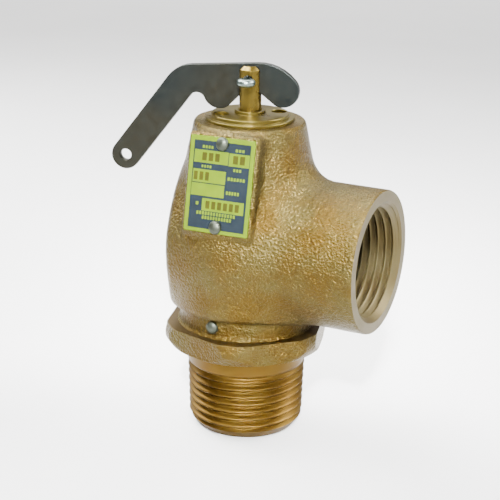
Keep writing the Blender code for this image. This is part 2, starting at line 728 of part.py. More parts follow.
def lever_outline():
    """Lever from the front, pivot at the origin: handle, nose, two feet and an arch."""
    arch_x, arch_y, arch_r = ARCH
    top = [(BEND[0], LEVER_TOP, BEND[1]), (NOSE[0], LEVER_TOP, NOSE[1])]
    feet_x = [(FOOT_OUTER_X[1], FOOT_INNER_X), (-FOOT_INNER_X, FOOT_OUTER_X[0])]
    outlet_foot, handle_foot = ([(x, FOOT_BOTTOM, FOOT_R) for x in pair] for pair in feet_x)
    arch = [(arch_x, arch_y, arch_r), (-arch_x, arch_y, arch_r)]
    tip_end = HANDLE_LENGTH + HANDLE_HALF_WIDTH
    tip_r = HANDLE_HALF_WIDTH * TIP_ROUNDNESS
    tip = [(*handle_point(tip_end, side * HANDLE_HALF_WIDTH), tip_r) for side in (-1, 1)]
    return rounded(top + outlet_foot + arch + handle_foot + [CROTCH] + tip)


def lift_lever():
    """Flat lever, hung on the split pin in the stem's fork."""
    half = LEVER_THICKNESS / 2
    lever = prism("lift_lever", lever_outline(), -half, half, PLATED_STEEL, roughness=0.35)
    reach = half + PAST
    pivot = cylinder("cut_lever_pivot", PIVOT_HOLE_R, -reach, reach, SMALL_STEPS)
    grip = cylinder("cut_lever_grip_hole", HANDLE_HOLE_R, -reach, reach, SMALL_STEPS)
    transform_mesh(grip, shift(*handle_point(HANDLE_LENGTH, 0), 0))
    for piece in (lever, pivot, grip):
        transform_mesh(piece, lever_matrix())
    cut(lever, pivot, grip)
    return lever


def split_pin_path():
    """Flat side of the folded wire, seen along the stem: leg, loop and leg."""
    bend_x, bend_r = PIN_LEG_BEND
    flare_x, flare_r = PIN_LEG_FLARE
    leg = rounded([(*PIN_LEG_END, 0), (bend_x, PIN_HALF_SPLIT, bend_r),
                   (flare_x, PIN_HALF_SPLIT, flare_r), (*PIN_LOOP_NECK, 0)], closed=False)
    loop = []
    for k in range(PIN_LOOP_ARCS + 1):
        angle = math.radians(PIN_LOOP_SPAN * (1 - 2 * k / PIN_LOOP_ARCS))
        loop.append((PIN_LOOP_X + PIN_LOOP_R * math.cos(angle), PIN_LOOP_R * math.sin(angle)))
    return leg[:-1] + loop + [(x, -y) for x, y in reversed(leg[:-1])]


def lever_cotter_pin():
    """Split pin through fork and lever, its loop at the front and its legs spread."""
    path = [Vector(point) for point in split_pin_path()]
    bm = bmesh.new()
    rings = []
    for i, point in enumerate(path):
        back = path[max(i - 1, 0)]
        ahead = path[min(i + 1, len(path) - 1)]
        outwards = (ahead - back).normalized().orthogonal()
        ring = []
        for k in range(PIN_SECTION_SIDES + 1):
            angle = math.pi * (k / PIN_SECTION_SIDES - 0.5)
            side = outwards * PIN_WIRE_R * math.cos(angle)
            ring.append(bm.verts.new(Vector((point.x + side.x, point.y + side.y,
                                             PIN_WIRE_R * math.sin(angle))) * MM))
        rings.append(ring)
    for ring, following in zip(rings, rings[1:]):
        for k in range(len(ring)):
            bm.faces.new((ring[k - 1], ring[k], following[k], following[k - 1]))
    bm.faces.new(rings[0])
    bm.faces.new(rings[-1])
    pin = add_object("lever_cotter_pin", bm, STEEL, roughness=0.25)
    front = shift(0, 0, PIVOT_Z) @ turn(LEVER_PLANE - 90, "Z")
    return transform_mesh(pin, front)


def main():
    """Build every piece. Moving pieces have their origin on their joint axis."""
    clear_scene()
    inlet_base()
    valve_body()
    body_lock_pin()
    nameplate()
    nameplate_screw("nameplate_screw_upper", PLATE_SCREW_V)
    nameplate_screw("nameplate_screw_lower", -PLATE_SCREW_V)
    bonnet_cap()
    upper_spring_step()
    main_spring()
    lower_spring_step()
    disc_guide()
    disc_holder()
    seat_disc()
    disc_retainer_washer()
    disc_retainer_screw()
    regulating_ring()
    stem()
    stem_retaining_ring()
    stem_stop_washer()
    move_origin(lift_lever(), 0, 0, PIVOT_Z)
    move_origin(lever_cotter_pin(), 0, 0, PIVOT_Z)


main()
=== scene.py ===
"""Looks of the pressure relief valve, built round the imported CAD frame.

World frame: +Z up the valve axis, +X along the side outlet, nameplate facing -Y.
Lengths in this script are millimetres and angles are degrees, unless a comment says
otherwise; MM turns a length into metres as each mesh is made.
"""
import itertools
import math

import bmesh
import bpy
import numpy as np
from mathutils import Matrix, Vector, noise


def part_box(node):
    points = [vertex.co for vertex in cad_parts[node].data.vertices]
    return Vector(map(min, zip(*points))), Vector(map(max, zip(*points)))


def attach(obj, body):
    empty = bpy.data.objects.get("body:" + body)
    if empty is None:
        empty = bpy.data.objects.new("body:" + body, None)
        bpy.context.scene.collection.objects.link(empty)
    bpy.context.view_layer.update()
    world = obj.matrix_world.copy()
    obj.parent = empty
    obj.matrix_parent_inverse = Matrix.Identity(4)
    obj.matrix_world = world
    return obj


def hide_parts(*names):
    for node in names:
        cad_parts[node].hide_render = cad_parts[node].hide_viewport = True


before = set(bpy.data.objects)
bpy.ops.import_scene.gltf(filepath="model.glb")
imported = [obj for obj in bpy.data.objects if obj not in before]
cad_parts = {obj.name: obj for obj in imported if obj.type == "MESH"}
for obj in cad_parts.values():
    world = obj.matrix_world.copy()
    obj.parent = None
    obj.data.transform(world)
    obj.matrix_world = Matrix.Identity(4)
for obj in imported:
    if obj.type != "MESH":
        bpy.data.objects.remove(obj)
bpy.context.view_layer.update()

MM = 0.001
AROUND = 192                    # points round a turned piece
ARC_STEP = 9.0                  # degrees of arc between points on an outline
PAST = 1.0                      # how far a cutter runs past a face
CUT_SHARP = 34                  # degrees between two faces that make an edge of a cut piece sharp


def box(node):
    """Lowest and highest corner of a CAD node, in millimetres."""
    low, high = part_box(node)
    return np.array(low) / MM, np.array(high) / MM


# Sizes that the frame gives
BODY_BOTTOM = box("valve_body")[0][2]
BODY_TOP = box("valve_body")[1][2]
OUTLET_FACE_X = box("valve_body")[1][0]
CAP_BOTTOM = box("bonnet_cap")[0][2]
CAP_TOP = box("bonnet_cap")[1][2]
STEM_BOTTOM = box("stem")[0][2]
STEM_TOP = box("stem")[1][2]
STEM_R = box("stem")[1][0]
PIECE_GAP = 0.3                 # between pieces that touch on the real valve

# Pipe threads: 14 to the inch, taper 1 in 16 on diameter
PITCH = 1.814
TAPER = 1 / 32
THREAD_DEPTH = 1.05
MALE_CREST_R = 12.98
MALE_THREAD_END = 15.0
FEMALE_CREST_R = 11.83
FEMALE_THREAD_DEPTH = 12.5
THREAD_ROWS = 24                # rows of points in one pitch
MALE_AROUND = 288               # points round the inlet base
FEMALE_AROUND = 240             # points round the outlet
MOUTH_R = 13.3

# Inlet base
NECK_R = 13.45
PASSAGE_R = 9.5
PASSAGE_TOP = 17.9
END_CHAMFER = 0.6
END_FACE_R = 11.3
HEX_BOTTOM = 19.9
HEX_TOP = BODY_BOTTOM - PIECE_GAP
HEX_ACROSS_FLATS = 34.4
HEX_CORNER_R = 18.95
HEX_TURN = -74.5
HEX_ROWS = 34                   # rows of points up the hexagon
SPIGOT_R = 12.8
SPIGOT_TOP = 31.0
NOZZLE_R = 9.8
NOZZLE_BORE_R = 7.9
SEAT_R = 8.7
SEAT_TOP = box("inlet_base")[1][2]

# Body. BODY_PROFILE is its cast outline, in (radius, height, fillet) corners
COLLAR_R = 15.2
COLLAR_TOP = 29.5
BODY_PROFILE = ((0, 29.3, 0), (17.15, 29.3, 1.6), (17.5, 46.0, 9.0), (12.05, 71.6, 1.6), (0, 71.6, 0))
CHAMBER_R = 13.3
CHAMBER_TOP = 48.0
GUIDE_LEDGE = 49.7
SPRING_ROOM_R = 8.6
CAP_SOCKET_R = 9.25
CAP_SOCKET_FOOT = 59.5
OUTLET_R = 15.8
OUTLET_Z = BODY_BOTTOM + 18.15
OUTLET_PASSAGE_R = 11.2
OUTLET_PASSAGE_X = 9.0          # where the passage opens into the chamber
BOSS_MIDDLE_X = 10.0
BOSS_FILLET = 5.0
FACE_ALLOWANCE = 0.45           # of casting outside the outlet's face, for the cutter to remove
CELL = 0.42                     # of the grid that the casting is drawn on
GRID_LOW = (-19.0, -19.2, 26.4)
GRID_HIGH = (33.4, 19.2, 73.0)

# Uneven swelling of cast surfaces: (size, depth)
BROAD_RIPPLE = (3.2, 0.035)
FINE_RIPPLE = (1.2, 0.03)
HEX_RIPPLE = (1.5, 0.05)

# Nameplate and drive screws
PLATE_SIZE = (14.8, 20.4)
PLATE_THICKNESS = 0.45
PLATE_FRONT = 15.94
PLATE_MIDDLE_Z = 60.0
PLATE_LEAN = 11.3
PLATE_TURN = 3.3
PLATE_SCREW_V = 8.85
PAD_MARGIN = 0.75
PAD_HALF_DEPTH = 3.0
PAD_EDGE_R = 0.7
PAD_FILLET = 1.1
PLATE_CLEARANCE = 0.02
DRIVE_HEAD_R = 1.45
DRIVE_HEAD_HEIGHT = 1.0
DRIVE_SHANK_R = 0.7
DRIVE_SHANK_LENGTH = 3.6
LOCK_PIN_AZIMUTH = -93.0
LOCK_PIN_Z = 27.4

# Cap
CAP_THREAD_R = 9.1
CAP_FLANGE_R = 9.7
CAP_FLANGE_TOP = 71.8
CAP_DISC_R = 8.6
CAP_DISC_TOP = 72.6
CAP_COLLAR_R = 3.4
CAP_HOLE_R = 2.6
CAP_ROOM_R = 7.9
CAP_ROOM_TOP = 69.3
SPANNER_AZIMUTHS = (40.0, 220.0)
SPANNER_OUT = 6.5
SPANNER_R = 1.7
SPANNER_CHAMFER = 0.12
SPANNER_FLOOR = 71.85

# Stem, and the pieces round it
ROD_HOLE_R = 2.75               # in pieces that the stem runs through
SMALL_FILLET = 0.15
STEM_CHAMFER = 0.8
STEM_FOOT_CHAMFER = 0.3
RING_GROOVE_R = 1.8
RING_GROOVE_BOTTOM = 42.8
RING_GROOVE_TOP = 43.9
SLOT_WIDTH = 2.0
SLOT_FLOOR = 71.4

# Lever, in its own plane with the pivot at the origin
PIVOT_Z = 79.9
PIVOT_HOLE_R = 1.25
LEVER_PLANE = 13.5
LEVER_DROOP = 4.2
LEVER_THICKNESS = 1.6
LEVER_EDGE = 0.14
LEVER_BACK = 3.6
FOOT_LEVEL = -6.2
FOOT_CORNER_R = 3.55
ARCH_FOOT_X = 5.75
ARCH_FOOT_R = 2.6
ARCH_X = 1.7
ARCH_TOP = -2.6
ARCH_CORNER_R = 0.9
HANDLE_SLOPE = 48.65
HANDLE_MIDDLE = 11.3
HANDLE_HALF_WIDTH = 3.25
HANDLE_LENGTH = 32.0
HANDLE_HOLE_R = 1.3

# Split pin, folded from half-round wire
WIRE_R = 0.85
PIN_LOOP_MIDDLE = 4.1
PIN_LOOP_R = 1.15
PIN_LOOP_HALF_TURN = 115.5
PIN_LOOP_STEPS = 12             # in half of the loop


# ---------------------------------------------------------------- meshes

def new_object(name, data):
    """An object in the scene for a mesh, a light or a camera."""
    obj = bpy.data.objects.new(name, data)
    bpy.context.scene.collection.objects.link(obj)
    return obj


def shade(mesh, sharp):
    """Shade a mesh smooth, apart from edges sharper than an angle in degrees."""
    mesh.shade_smooth()
    mesh.set_sharp_from_angle(angle=math.radians(sharp))


def mesh_object(name, points, faces, sharp=32):
    """A smooth-shaded object from points in millimetres."""
    mesh = bpy.data.meshes.new(name)
    mesh.from_pydata((np.asarray(points, float) * MM).tolist(), [], faces)
    bm = bmesh.new()
    bm.from_mesh(mesh)
    bmesh.ops.recalc_face_normals(bm, faces=bm.faces)
    bm.to_mesh(mesh)
    bm.free()
    shade(mesh, sharp)
    return new_object(name, mesh)


def swept(name, rings, closed, sharp=32):
    """A solid from rings of points. A closed sweep joins its last ring to its first."""
    rings = np.asarray(rings, float)
    count, around = rings.shape[:2]
    index = np.arange(count * around).reshape(count, around)
    ahead = np.roll(index, -1, axis=0)
    quads = np.stack([index, np.roll(index, -1, axis=1), np.roll(ahead, -1, axis=1), ahead], axis=-1)
    if not closed:
        quads = quads[:-1]
    faces = quads.reshape(-1, 4).tolist()
    if not closed:
        faces += [index[0].tolist(), index[-1].tolist()]
    return mesh_object(name, rings.reshape(-1, 3), faces, sharp)


def ring_points(radius, height, angle):
    """Points round the Z axis at each angle. Radius and height are numbers or arrays."""
    return np.stack([radius * np.cos(angle), radius * np.sin(angle), height + 0 * angle], axis=-1)


def rounded(corners, closed=True):
    """Outline through (x, y, radius) corners, each rounded by an arc of its radius."""
    points = []
    count = len(corners)
    for i, (x, y, radius) in enumerate(corners):
        corner = Vector((x, y))
        if radius == 0 or (not closed and i in (0, count - 1)):
            points.append(tuple(corner))
            continue
        back = (Vector(corners[i - 1][:2]) - corner).normalized()
        ahead = (Vector(corners[(i + 1) % count][:2]) - corner).normalized()
        opening = back.angle(ahead)
        middle = corner + (back + ahead).normalized() * radius / math.sin(opening / 2)
        start = corner + back * radius / math.tan(opening / 2) - middle
        sweep = math.pi - opening
        if back.cross(ahead) > 0:
            sweep = -sweep
        arcs = max(2, round(abs(math.degrees(sweep)) / ARC_STEP))
        for k in range(arcs + 1):
            points.append(tuple(middle + Matrix.Rotation(sweep * k / arcs, 2) @ start))
    return points


def turned(name, corners, closed=True, around=AROUND, sharp=32):
    """A turned piece on the valve axis, from (radius, height, fillet) corners."""
    outline = np.array(rounded(corners, closed))
    angle = np.linspace(0, 2 * math.pi, around, endpoint=False)
    rings = ring_points(outline[:, :1], outline[:, 1:], angle)
    return swept(name, rings, closed, sharp)


def prism(name, outline, low, high, edge=0.0):
    """A flat piece along Z from an (x, y) outline, its edges rounded by edge."""
    bm = bmesh.new()
    face = bm.faces.new([bm.verts.new((x * MM, y * MM, low * MM)) for x, y in outline])
    top = bmesh.ops.extrude_face_region(bm, geom=[face])["geom"]
    moved = [item for item in top if isinstance(item, bmesh.types.BMVert)]
    bmesh.ops.translate(bm, verts=moved, vec=(0, 0, (high - low) * MM))
    bmesh.ops.recalc_face_normals(bm, faces=bm.faces)
    if edge:
        level = 1e-7            # metres between the ends of a rim's edge, at most
        rims = [e for e in bm.edges if e.calc_face_angle(0) > math.radians(60)
                and abs(e.verts[0].co.z - e.verts[1].co.z) < level]
        bmesh.ops.bevel(bm, geom=rims, offset=edge * MM, segments=3, affect="EDGES", profile=0.5)
    mesh = bpy.data.meshes.new(name)
    bm.to_mesh(mesh)
    bm.free()
    return keep_flat(new_object(name, mesh))


def keep_flat(obj):
    """Shade a piece smooth, but keep the faces square to Z flat up to their edges."""
    square = 0.9999             # share of a normal along Z that makes a face count as flat
    widest = math.radians(50)
    bm = bmesh.new()
    bm.from_mesh(obj.data)
    bm.normal_update()
    for item in bm.edges:
        flat = {abs(face.normal.z) > square for face in item.link_faces}
        item.smooth = len(flat) == 1 and item.calc_face_angle(0) < widest
    for face in bm.faces:
        face.smooth = True
    bm.to_mesh(obj.data)
    bm.free()
    return obj


def shift(x, y, z):
    """Move by millimetres."""
    return Matrix.Translation((x * MM, y * MM, z * MM))


def turn(angle, axis):
    """Rotate by degrees."""
    return Matrix.Rotation(math.radians(angle), 4, axis)


def place(obj, matrix):
    """Put a piece in place by moving its points."""
    obj.data.transform(matrix)
    return obj


def combine(target, tool, operation="DIFFERENCE"):
    """Cut tool out of target, or add it, and apply the result."""
    modifier = target.modifiers.new("combine", "BOOLEAN")
    modifier.operation = operation
    modifier.solver = "MANIFOLD"
    modifier.object = tool
    depsgraph = bpy.context.evaluated_depsgraph_get()
    mesh = bpy.data.meshes.new_from_object(target.evaluated_get(depsgraph))
    target.modifiers.clear()
    target.data = mesh
    bpy.data.objects.remove(tool)
    return target


def circle(radius, count=48):
    """Points of a circle about the origin."""
    angle = np.linspace(0, 2 * math.pi, count, endpoint=False)
    return [(radius * math.cos(a), radius * math.sin(a)) for a in angle]


def rows(items, key, width=3, kind=float):
    """An attribute of a mesh's faces or vertices, one row for each."""
    flat = np.empty(len(items) * width, kind)
    items.foreach_get(key, flat)
    return flat.reshape(-1, width)


def face_rows(obj):
    """Centres in millimetres and normals of an object's faces."""
    faces = obj.data.polygons
    return rows(faces, "center") / MM, rows(faces, "normal")


def give_slot(obj, chosen, slot):
    """Give a material slot to the chosen faces."""
    faces = obj.data.polygons
    index = rows(faces, "material_index", 1, np.int32)
    index[chosen] = slot
    faces.foreach_set("material_index", index.ravel())


# ---------------------------------------------------------------- materials

class Surface:
    """A Principled material, with short names for the nodes that give it detail."""

    def __init__(self, name, metallic, roughness):
        self.material = bpy.data.materials.new(name)
        self.material.use_nodes = True
        self.tree = self.material.node_tree
        self.shader = self.tree.nodes["Principled BSDF"]
        self.shader.inputs["Metallic"].default_value = metallic
        self.shader.inputs["Roughness"].default_value = roughness
        self.place = self.node("ShaderNodeTexCoord").outputs["Object"]

    def node(self, kind, **settings):
        """A new node, with settings for its own properties."""
        new = self.tree.nodes.new(kind)
        for key, value in settings.items():
            setattr(new, key, value)
        return new

    def link(self, start, end):
        """Join an output to an input."""
        self.tree.links.new(start, end)

    def noise(self, size, detail=3.0, rough=0.5, vector=None, stretch=None):
        """Noise whose features are about size millimetres across."""
        new = self.node("ShaderNodeTexNoise")
        new.inputs["Scale"].default_value = 1 / (size * MM)
        new.inputs["Detail"].default_value = detail
        new.inputs["Roughness"].default_value = rough
        vector = vector or self.place
        if stretch:
            mapping = self.node("ShaderNodeMapping")
            mapping.inputs["Scale"].default_value = stretch
            self.link(vector, mapping.inputs["Vector"])
            vector = mapping.outputs["Vector"]
        self.link(vector, new.inputs["Vector"])
        return new.outputs["Fac"]

    def turned_place(self, axis_z=None):
        """A coordinate that is the same all the way round the Z axis, or an X axis at axis_z."""
        parts = self.node("ShaderNodeSeparateXYZ")
        self.link(self.place, parts.inputs[0])
        first, second, along = parts.outputs
        if axis_z is not None:
            above_axis = self.math("SUBTRACT", along, axis_z * MM)
            first, second, along = second, above_axis, first
        squares = self.math("ADD", self.math("MULTIPLY", first, first),
                            self.math("MULTIPLY", second, second))
        joined = self.node("ShaderNodeCombineXYZ")
        self.link(self.math("SQRT", squares), joined.inputs[0])
        self.link(along, joined.inputs[1])
        return joined.outputs[0]

    def math(self, operation, first, second=None):
        """A Math node on sockets or numbers."""
        new = self.node("ShaderNodeMath", operation=operation)
        for socket, value in zip(new.inputs, (first, second)):
            if value is None:
                continue
            if isinstance(value, (int, float)):
                socket.default_value = value
            else:
                self.link(value, socket)
        return new.outputs[0]

    def ramp(self, value, *stops):
        """Colours along a value, as (position, colour) stops."""
        new = self.node("ShaderNodeValToRGB")
        elements = new.color_ramp.elements
        while len(elements) < len(stops):
            elements.new(0.5)
        for element, (position, color) in zip(elements, stops):
            element.position = position
            element.color = (*color, 1.0)
        self.link(value, new.inputs["Fac"])
        return new.outputs["Color"]

    def mix(self, share, first, second, blend="MIX"):
        """Two colours mixed by a share."""
        new = self.node("ShaderNodeMix", data_type="RGBA", blend_type=blend)
        for socket, value in zip((new.inputs[0], new.inputs[6], new.inputs[7]), (share, first, second)):
            if isinstance(value, (int, float)):
                socket.default_value = value
            elif isinstance(value, tuple):
                socket.default_value = (*value, 1.0)
            else:
                self.link(value, socket)
        return new.outputs[2]

    def color(self, value):
        """Colour of the surface."""
        self.link(value, self.shader.inputs["Base Color"])

    def roughness(self, value, low, high):
        """Roughness that follows a noise, which mostly lies between 0.3 and 0.7."""
        span = self.node("ShaderNodeMapRange")
        span.inputs["From Min"].default_value = 0.3
        span.inputs["From Max"].default_value = 0.7
        span.inputs["To Min"].default_value = low
        span.inputs["To Max"].default_value = high
        self.link(value, span.inputs["Value"])
        self.link(span.outputs["Result"], self.shader.inputs["Roughness"])

    def bump(self, *layers):
        """Bumps from (value, depth in millimetres) layers."""
        normal = None
        for value, depth in layers:
            new = self.node("ShaderNodeBump")
            new.inputs["Strength"].default_value = 1.0
            new.inputs["Distance"].default_value = depth * MM
            self.link(value, new.inputs["Height"])
            if normal:
                self.link(normal, new.inputs["Normal"])
            normal = new.outputs["Normal"]
        self.link(normal, self.shader.inputs["Normal"])


def cast_bronze(name):
    """Sand-cast bronze: glossy, pebbled by the mould, with browner patches, and painted shade darkening
    the pebbling's hollows.
    """
    tan = (0.084, 0.064, 0.0180)
    brown = (0.080, 0.049, 0.0085)
    s = Surface(name, 0.96, 0.36)
    grain = s.noise(0.52, detail=2.0, rough=0.5)
    patches = s.noise(9.0, detail=3.0)
    tint = s.ramp(patches, (0.38, brown), (0.60, tan))
    # painted shade: the colour darkens where the grain is low, in the hollows of the pebbling
    painted_pit_shade = s.ramp(grain, (0.30, (0.86, 0.80, 0.70)), (0.50, (1.0, 1.0, 1.0)))
    s.color(s.mix(1.0, tint, painted_pit_shade, blend="MULTIPLY"))
    s.roughness(s.noise(0.4, detail=2.0), 0.28, 0.40)
    s.bump((s.noise(1.9, detail=1.0), 0.08), (grain, 0.50), (s.noise(0.25, detail=2.0), 0.04))
    return s.material


def machined_brass(name, tint=(0.150, 0.108, 0.020), rough=(0.22, 0.34), axis_z=None, metallic=0.9):
    """Turned brass with fine rings from the tool, and a light tarnish."""
    s = Surface(name, metallic, 0.25)
    rings = s.noise(0.2, detail=2.0, vector=s.turned_place(axis_z))
    tarnish = s.noise(5.0, detail=2.0)
    deeper = tuple(c * f for c, f in zip(tint, (0.92, 0.84, 0.72)))
    s.color(s.ramp(tarnish, (0.35, deeper), (0.65, tint)))
    s.roughness(tarnish, *rough)
    s.bump((rings, 0.003))
    return s.material


def plated_plate(name):
    """Stamped steel under a dark olive chromate, browner in patches."""
    s = Surface(name, 0.95, 0.42)
    patches = s.noise(16.0, detail=2.0, rough=0.4)
    cloud = s.noise(1.6, detail=4.0)
    base = s.ramp(patches, (0.42, (0.024, 0.030, 0.030)), (0.60, (0.038, 0.034, 0.022)))
    s.color(s.mix(cloud, base, (0.030, 0.033, 0.029)))
    s.roughness(cloud, 0.36, 0.50)
    s.bump((s.noise(0.35, detail=3.0), 0.006), (s.noise(0.12, stretch=(0.15, 0.15, 1.0)), 0.003))
    return s.material


def steel(name, tint=(0.36, 0.37, 0.35), roughness=(0.24, 0.38)):
    """Bright plain steel with fine scratches."""
    s = Surface(name, 1.0, 0.28)
    cloud = s.noise(1.2, detail=3.0)
    s.color(s.ramp(cloud, (0.35, tuple(c * 0.8 for c in tint)), (0.65, tint)))
    s.roughness(cloud, *roughness)
    s.bump((s.noise(0.15, detail=2.0), 0.004))
    return s.material


def lacquer(name, tint, deeper, metallic, roughness):
    """Thin coloured lacquer on the nameplate, slightly uneven."""
    s = Surface(name, metallic, roughness)
    s.color(s.ramp(s.noise(2.5, detail=3.0), (0.35, deeper), (0.65, tint)))
    s.shader.inputs["Specular IOR Level"].default_value = 0.1
    s.bump((s.noise(0.5, detail=2.0), 0.008))
    return s.material


def silicone(name):
    """Red-brown moulded rubber."""
    s = Surface(name, 0.0, 0.55)
    s.color(s.ramp(s.noise(1.5), (0.4, (0.42, 0.10, 0.06)), (0.6, (0.55, 0.16, 0.10))))
    s.bump((s.noise(0.3), 0.01))
    return s.material


CAST = cast_bronze("cast_bronze")
BRASS = machined_brass("machined_brass")
BRASS_CAP = machined_brass("machined_cap", tint=(0.100, 0.078, 0.014), rough=(0.26, 0.38),
                           metallic=0.85)
BRASS_OUTLET = machined_brass("machined_outlet", tint=(0.082, 0.066, 0.028), rough=(0.46, 0.58),
                              axis_z=OUTLET_Z, metallic=0.85)
# the inlet's machined bronze, painted darker and more orange than the other machined brass as warm shade
# for the valve's lower end
BRASS_INLET = machined_brass("machined_inlet", tint=(0.092, 0.052, 0.006), rough=(0.38, 0.48),
                             metallic=0.9)
FACED = machined_brass("faced_bronze", tint=(0.085, 0.058, 0.018), rough=(0.30, 0.38), metallic=0.9)
PLATED = plated_plate("dark_chromate")
STEEL = steel("bright_steel")
ZINC = steel("zinc_plated_wire", tint=(0.20, 0.25, 0.23), roughness=(0.26, 0.38))
DULL_STEEL = steel("dull_plated_steel", tint=(0.072, 0.082, 0.062), roughness=(0.40, 0.56))
SPRING_STEEL = steel("spring_wire", tint=(0.42, 0.42, 0.42))
GROUND = lacquer("nameplate_ground", (0.095, 0.150, 0.001), (0.082, 0.132, 0.001), 0.20, 0.55)
FIELD = lacquer("nameplate_field", (0.009, 0.014, 0.019), (0.007, 0.011, 0.015), 0.0, 0.52)
STAMPED = lacquer("nameplate_stamping", (0.042, 0.042, 0.004), (0.032, 0.032, 0.004), 0.2, 0.50)
RUBBER = silicone("soft_seat")


def finish(obj, body, slot, materials, *replaced):
    """Give a piece its materials and its body, and hide the CAD nodes that it stands for. The slot is not
    used.
    """
    obj.data.materials.clear()
    for item in materials:
        obj.data.materials.append(item)
    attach(obj, body)
    if replaced:
        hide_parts(*replaced)
    return obj


# ---------------------------------------------------------------- threads

def thread_wave(phase):
    """Share of full depth along one pitch: straight flanks, rounded at crest and root."""
    straight = 0.55             # share of the straight flanks; the rest is the rounding
    triangle = 1 - np.abs(2 * (phase % 1.0) - 1)
    rounding = 0.5 - 0.5 * np.cos(math.pi * triangle)
    return straight * triangle + (1 - straight) * rounding


def fade(value, start, end):
    """Goes smoothly from 0 at start to 1 at end."""
    share = np.clip((value - start) / (end - start), 0, 1)
    return share * share * (3 - 2 * share)


def helix_phase(height, angle):
    """Turns of a right-hand thread at a height and an angle."""
    return height / PITCH - angle / (2 * math.pi)


# ---------------------------------------------------------------- inlet base

def hex_radius(radius, angle):
    """Radius at an angle of a round blank that a hexagon's flats have cut."""
    sector = math.radians(60)
    from_flat = (angle - math.radians(HEX_TURN)) % sector - sector / 2
    flat = HEX_ACROSS_FLATS / 2 / np.cos(from_flat)
    soft = 0.10                 # rounding where a flat meets the blank
    share = np.clip(0.5 + 0.5 * (radius - flat) / soft, 0, 1)
    return radius * (1 - share) + flat * share - soft * share * (1 - share)


def cast_ripple(points, size, depth):
    """Small uneven swelling of a cast surface."""
    return np.array([noise.noise(Vector(point) / size) for point in points]) * depth


def male_thread_rings(angle):
    """Rings of the inlet thread, which fades out towards the neck."""
    fade_start, fade_end = MALE_THREAD_END - 0.6, MALE_THREAD_END + 1.2
    rings = []
    for height in np.arange(0.1, MALE_THREAD_END + 2.2, PITCH / THREAD_ROWS):
        groove = thread_wave(helix_phase(height, angle)) * THREAD_DEPTH
        groove = groove * (1 - fade(height, fade_start, fade_end))
        crest = min(MALE_CREST_R + TAPER * height, NECK_R)
        start_chamfer = 11.35 + 0.75 * height
        rings.append(ring_points(np.minimum(crest - groove, start_chamfer), height, angle))
    return rings


def hexagon_rings(angle):
    """Rings of the hexagon, cut from a round blank with coned ends. Its sides are cast."""
    lower_cone_top, upper_cone_foot = 21.9, 23.4
    blank = np.array(rounded([
        (NECK_R + 0.6, HEX_BOTTOM, 0), (17.55, HEX_BOTTOM, 0.9), (HEX_CORNER_R, lower_cone_top, 2.0),
        (HEX_CORNER_R, upper_cone_foot, 2.0), (18.35, HEX_TOP, 0.18), (17.2, HEX_TOP, 0)],
        closed=False))
    cast_from_r = 17.3          # nearer to the axis the ends are left smooth
    index = np.arange(len(blank))
    rings = []
    for step in np.linspace(0, len(blank) - 1, HEX_ROWS):
        radius = np.interp(step, index, blank[:, 0])
        height = np.interp(step, index, blank[:, 1])
        around = hex_radius(radius + 0 * angle, angle)
        if radius > cast_from_r and HEX_BOTTOM + 0.3 < height < HEX_TOP - 0.25:
            around = around + cast_ripple(ring_points(around, height, angle), *HEX_RIPPLE)
        rings.append(ring_points(around, height, angle))
    return rings


def inlet_base():
    """Hexagon nipple with a true helical taper thread, nozzle and raised seat."""
    angle = np.linspace(0, 2 * math.pi, MALE_AROUND, endpoint=False)
    passage = ((PASSAGE_R, PASSAGE_TOP), (PASSAGE_R, END_CHAMFER), (PASSAGE_R + END_CHAMFER, 0.0),
               (END_FACE_R, 0.0))
    undercut = ((NECK_R, HEX_BOTTOM - 0.35), (NECK_R + 0.35, HEX_BOTTOM))
    nozzle = ((16.0, HEX_TOP), (SPIGOT_R, HEX_TOP), (SPIGOT_R, SPIGOT_TOP), (NOZZLE_R, SPIGOT_TOP),
              (NOZZLE_R, SEAT_TOP - 0.8), (SEAT_R, SEAT_TOP - 0.4), (SEAT_R, SEAT_TOP),
              (NOZZLE_BORE_R, SEAT_TOP), (NOZZLE_BORE_R, HEX_TOP))
    rings = [ring_points(*point, angle) for point in passage]
    rings += male_thread_rings(angle)
    rings += [ring_points(*point, angle) for point in undercut]
    rings += hexagon_rings(angle)
    rings += [ring_points(*point, angle) for point in nozzle]
    base = swept("inlet_base_turned", rings, closed=True, sharp=35)
    finish(base, "root", "nozzle_bronze", [BRASS_INLET, CAST, FACED], "inlet_base")
    mark_hexagon(base)


def mark_hexagon(base):
    """Cast sides and a machined top for the hexagon."""
    centers, normals = face_rows(base)
    radius = np.hypot(centers[:, 0], centers[:, 1])
    height = centers[:, 2]
    top_edge = HEX_TOP - 0.08
    sides = (radius > 16.2) & (height > HEX_BOTTOM + 0.1) & (height < top_edge)
    give_slot(base, sides & (normals[:, 2] < 0.8), 1)
    give_slot(base, (height > top_edge) & (radius > SPIGOT_R), 2)


# ---------------------------------------------------------------- casting

def outline_distance(x, y, outline):
    """Signed distance to a closed (x, y) outline, negative inside."""
    tiny = 1e-12                # keeps an edge of no length from dividing by zero
    nearest = np.full(x.shape, np.inf)
    inside = np.zeros(x.shape, bool)
    for (ax, ay), (bx, by) in zip(outline, np.roll(outline, -1, axis=0)):
        ex, ey = bx - ax, by - ay
        along = np.clip(((x - ax) * ex + (y - ay) * ey) / (ex * ex + ey * ey + tiny), 0, 1)
        nearest = np.minimum(nearest, (x - ax - along * ex) ** 2 + (y - ay - along * ey) ** 2)
        if ay != by:
            crosses = (ay > y) != (by > y)
            inside ^= crosses & (x < ax + (y - ay) / (by - ay) * ex)
    distance = np.sqrt(nearest)
    return np.where(inside, -distance, distance)


def smooth_union(first, second, fillet):
    """Union of two distances, with a fillet where they meet."""
    share = np.clip(0.5 + 0.5 * (second - first) / fillet, 0, 1)
    return second * (1 - share) + first * share - fillet * share * (1 - share)


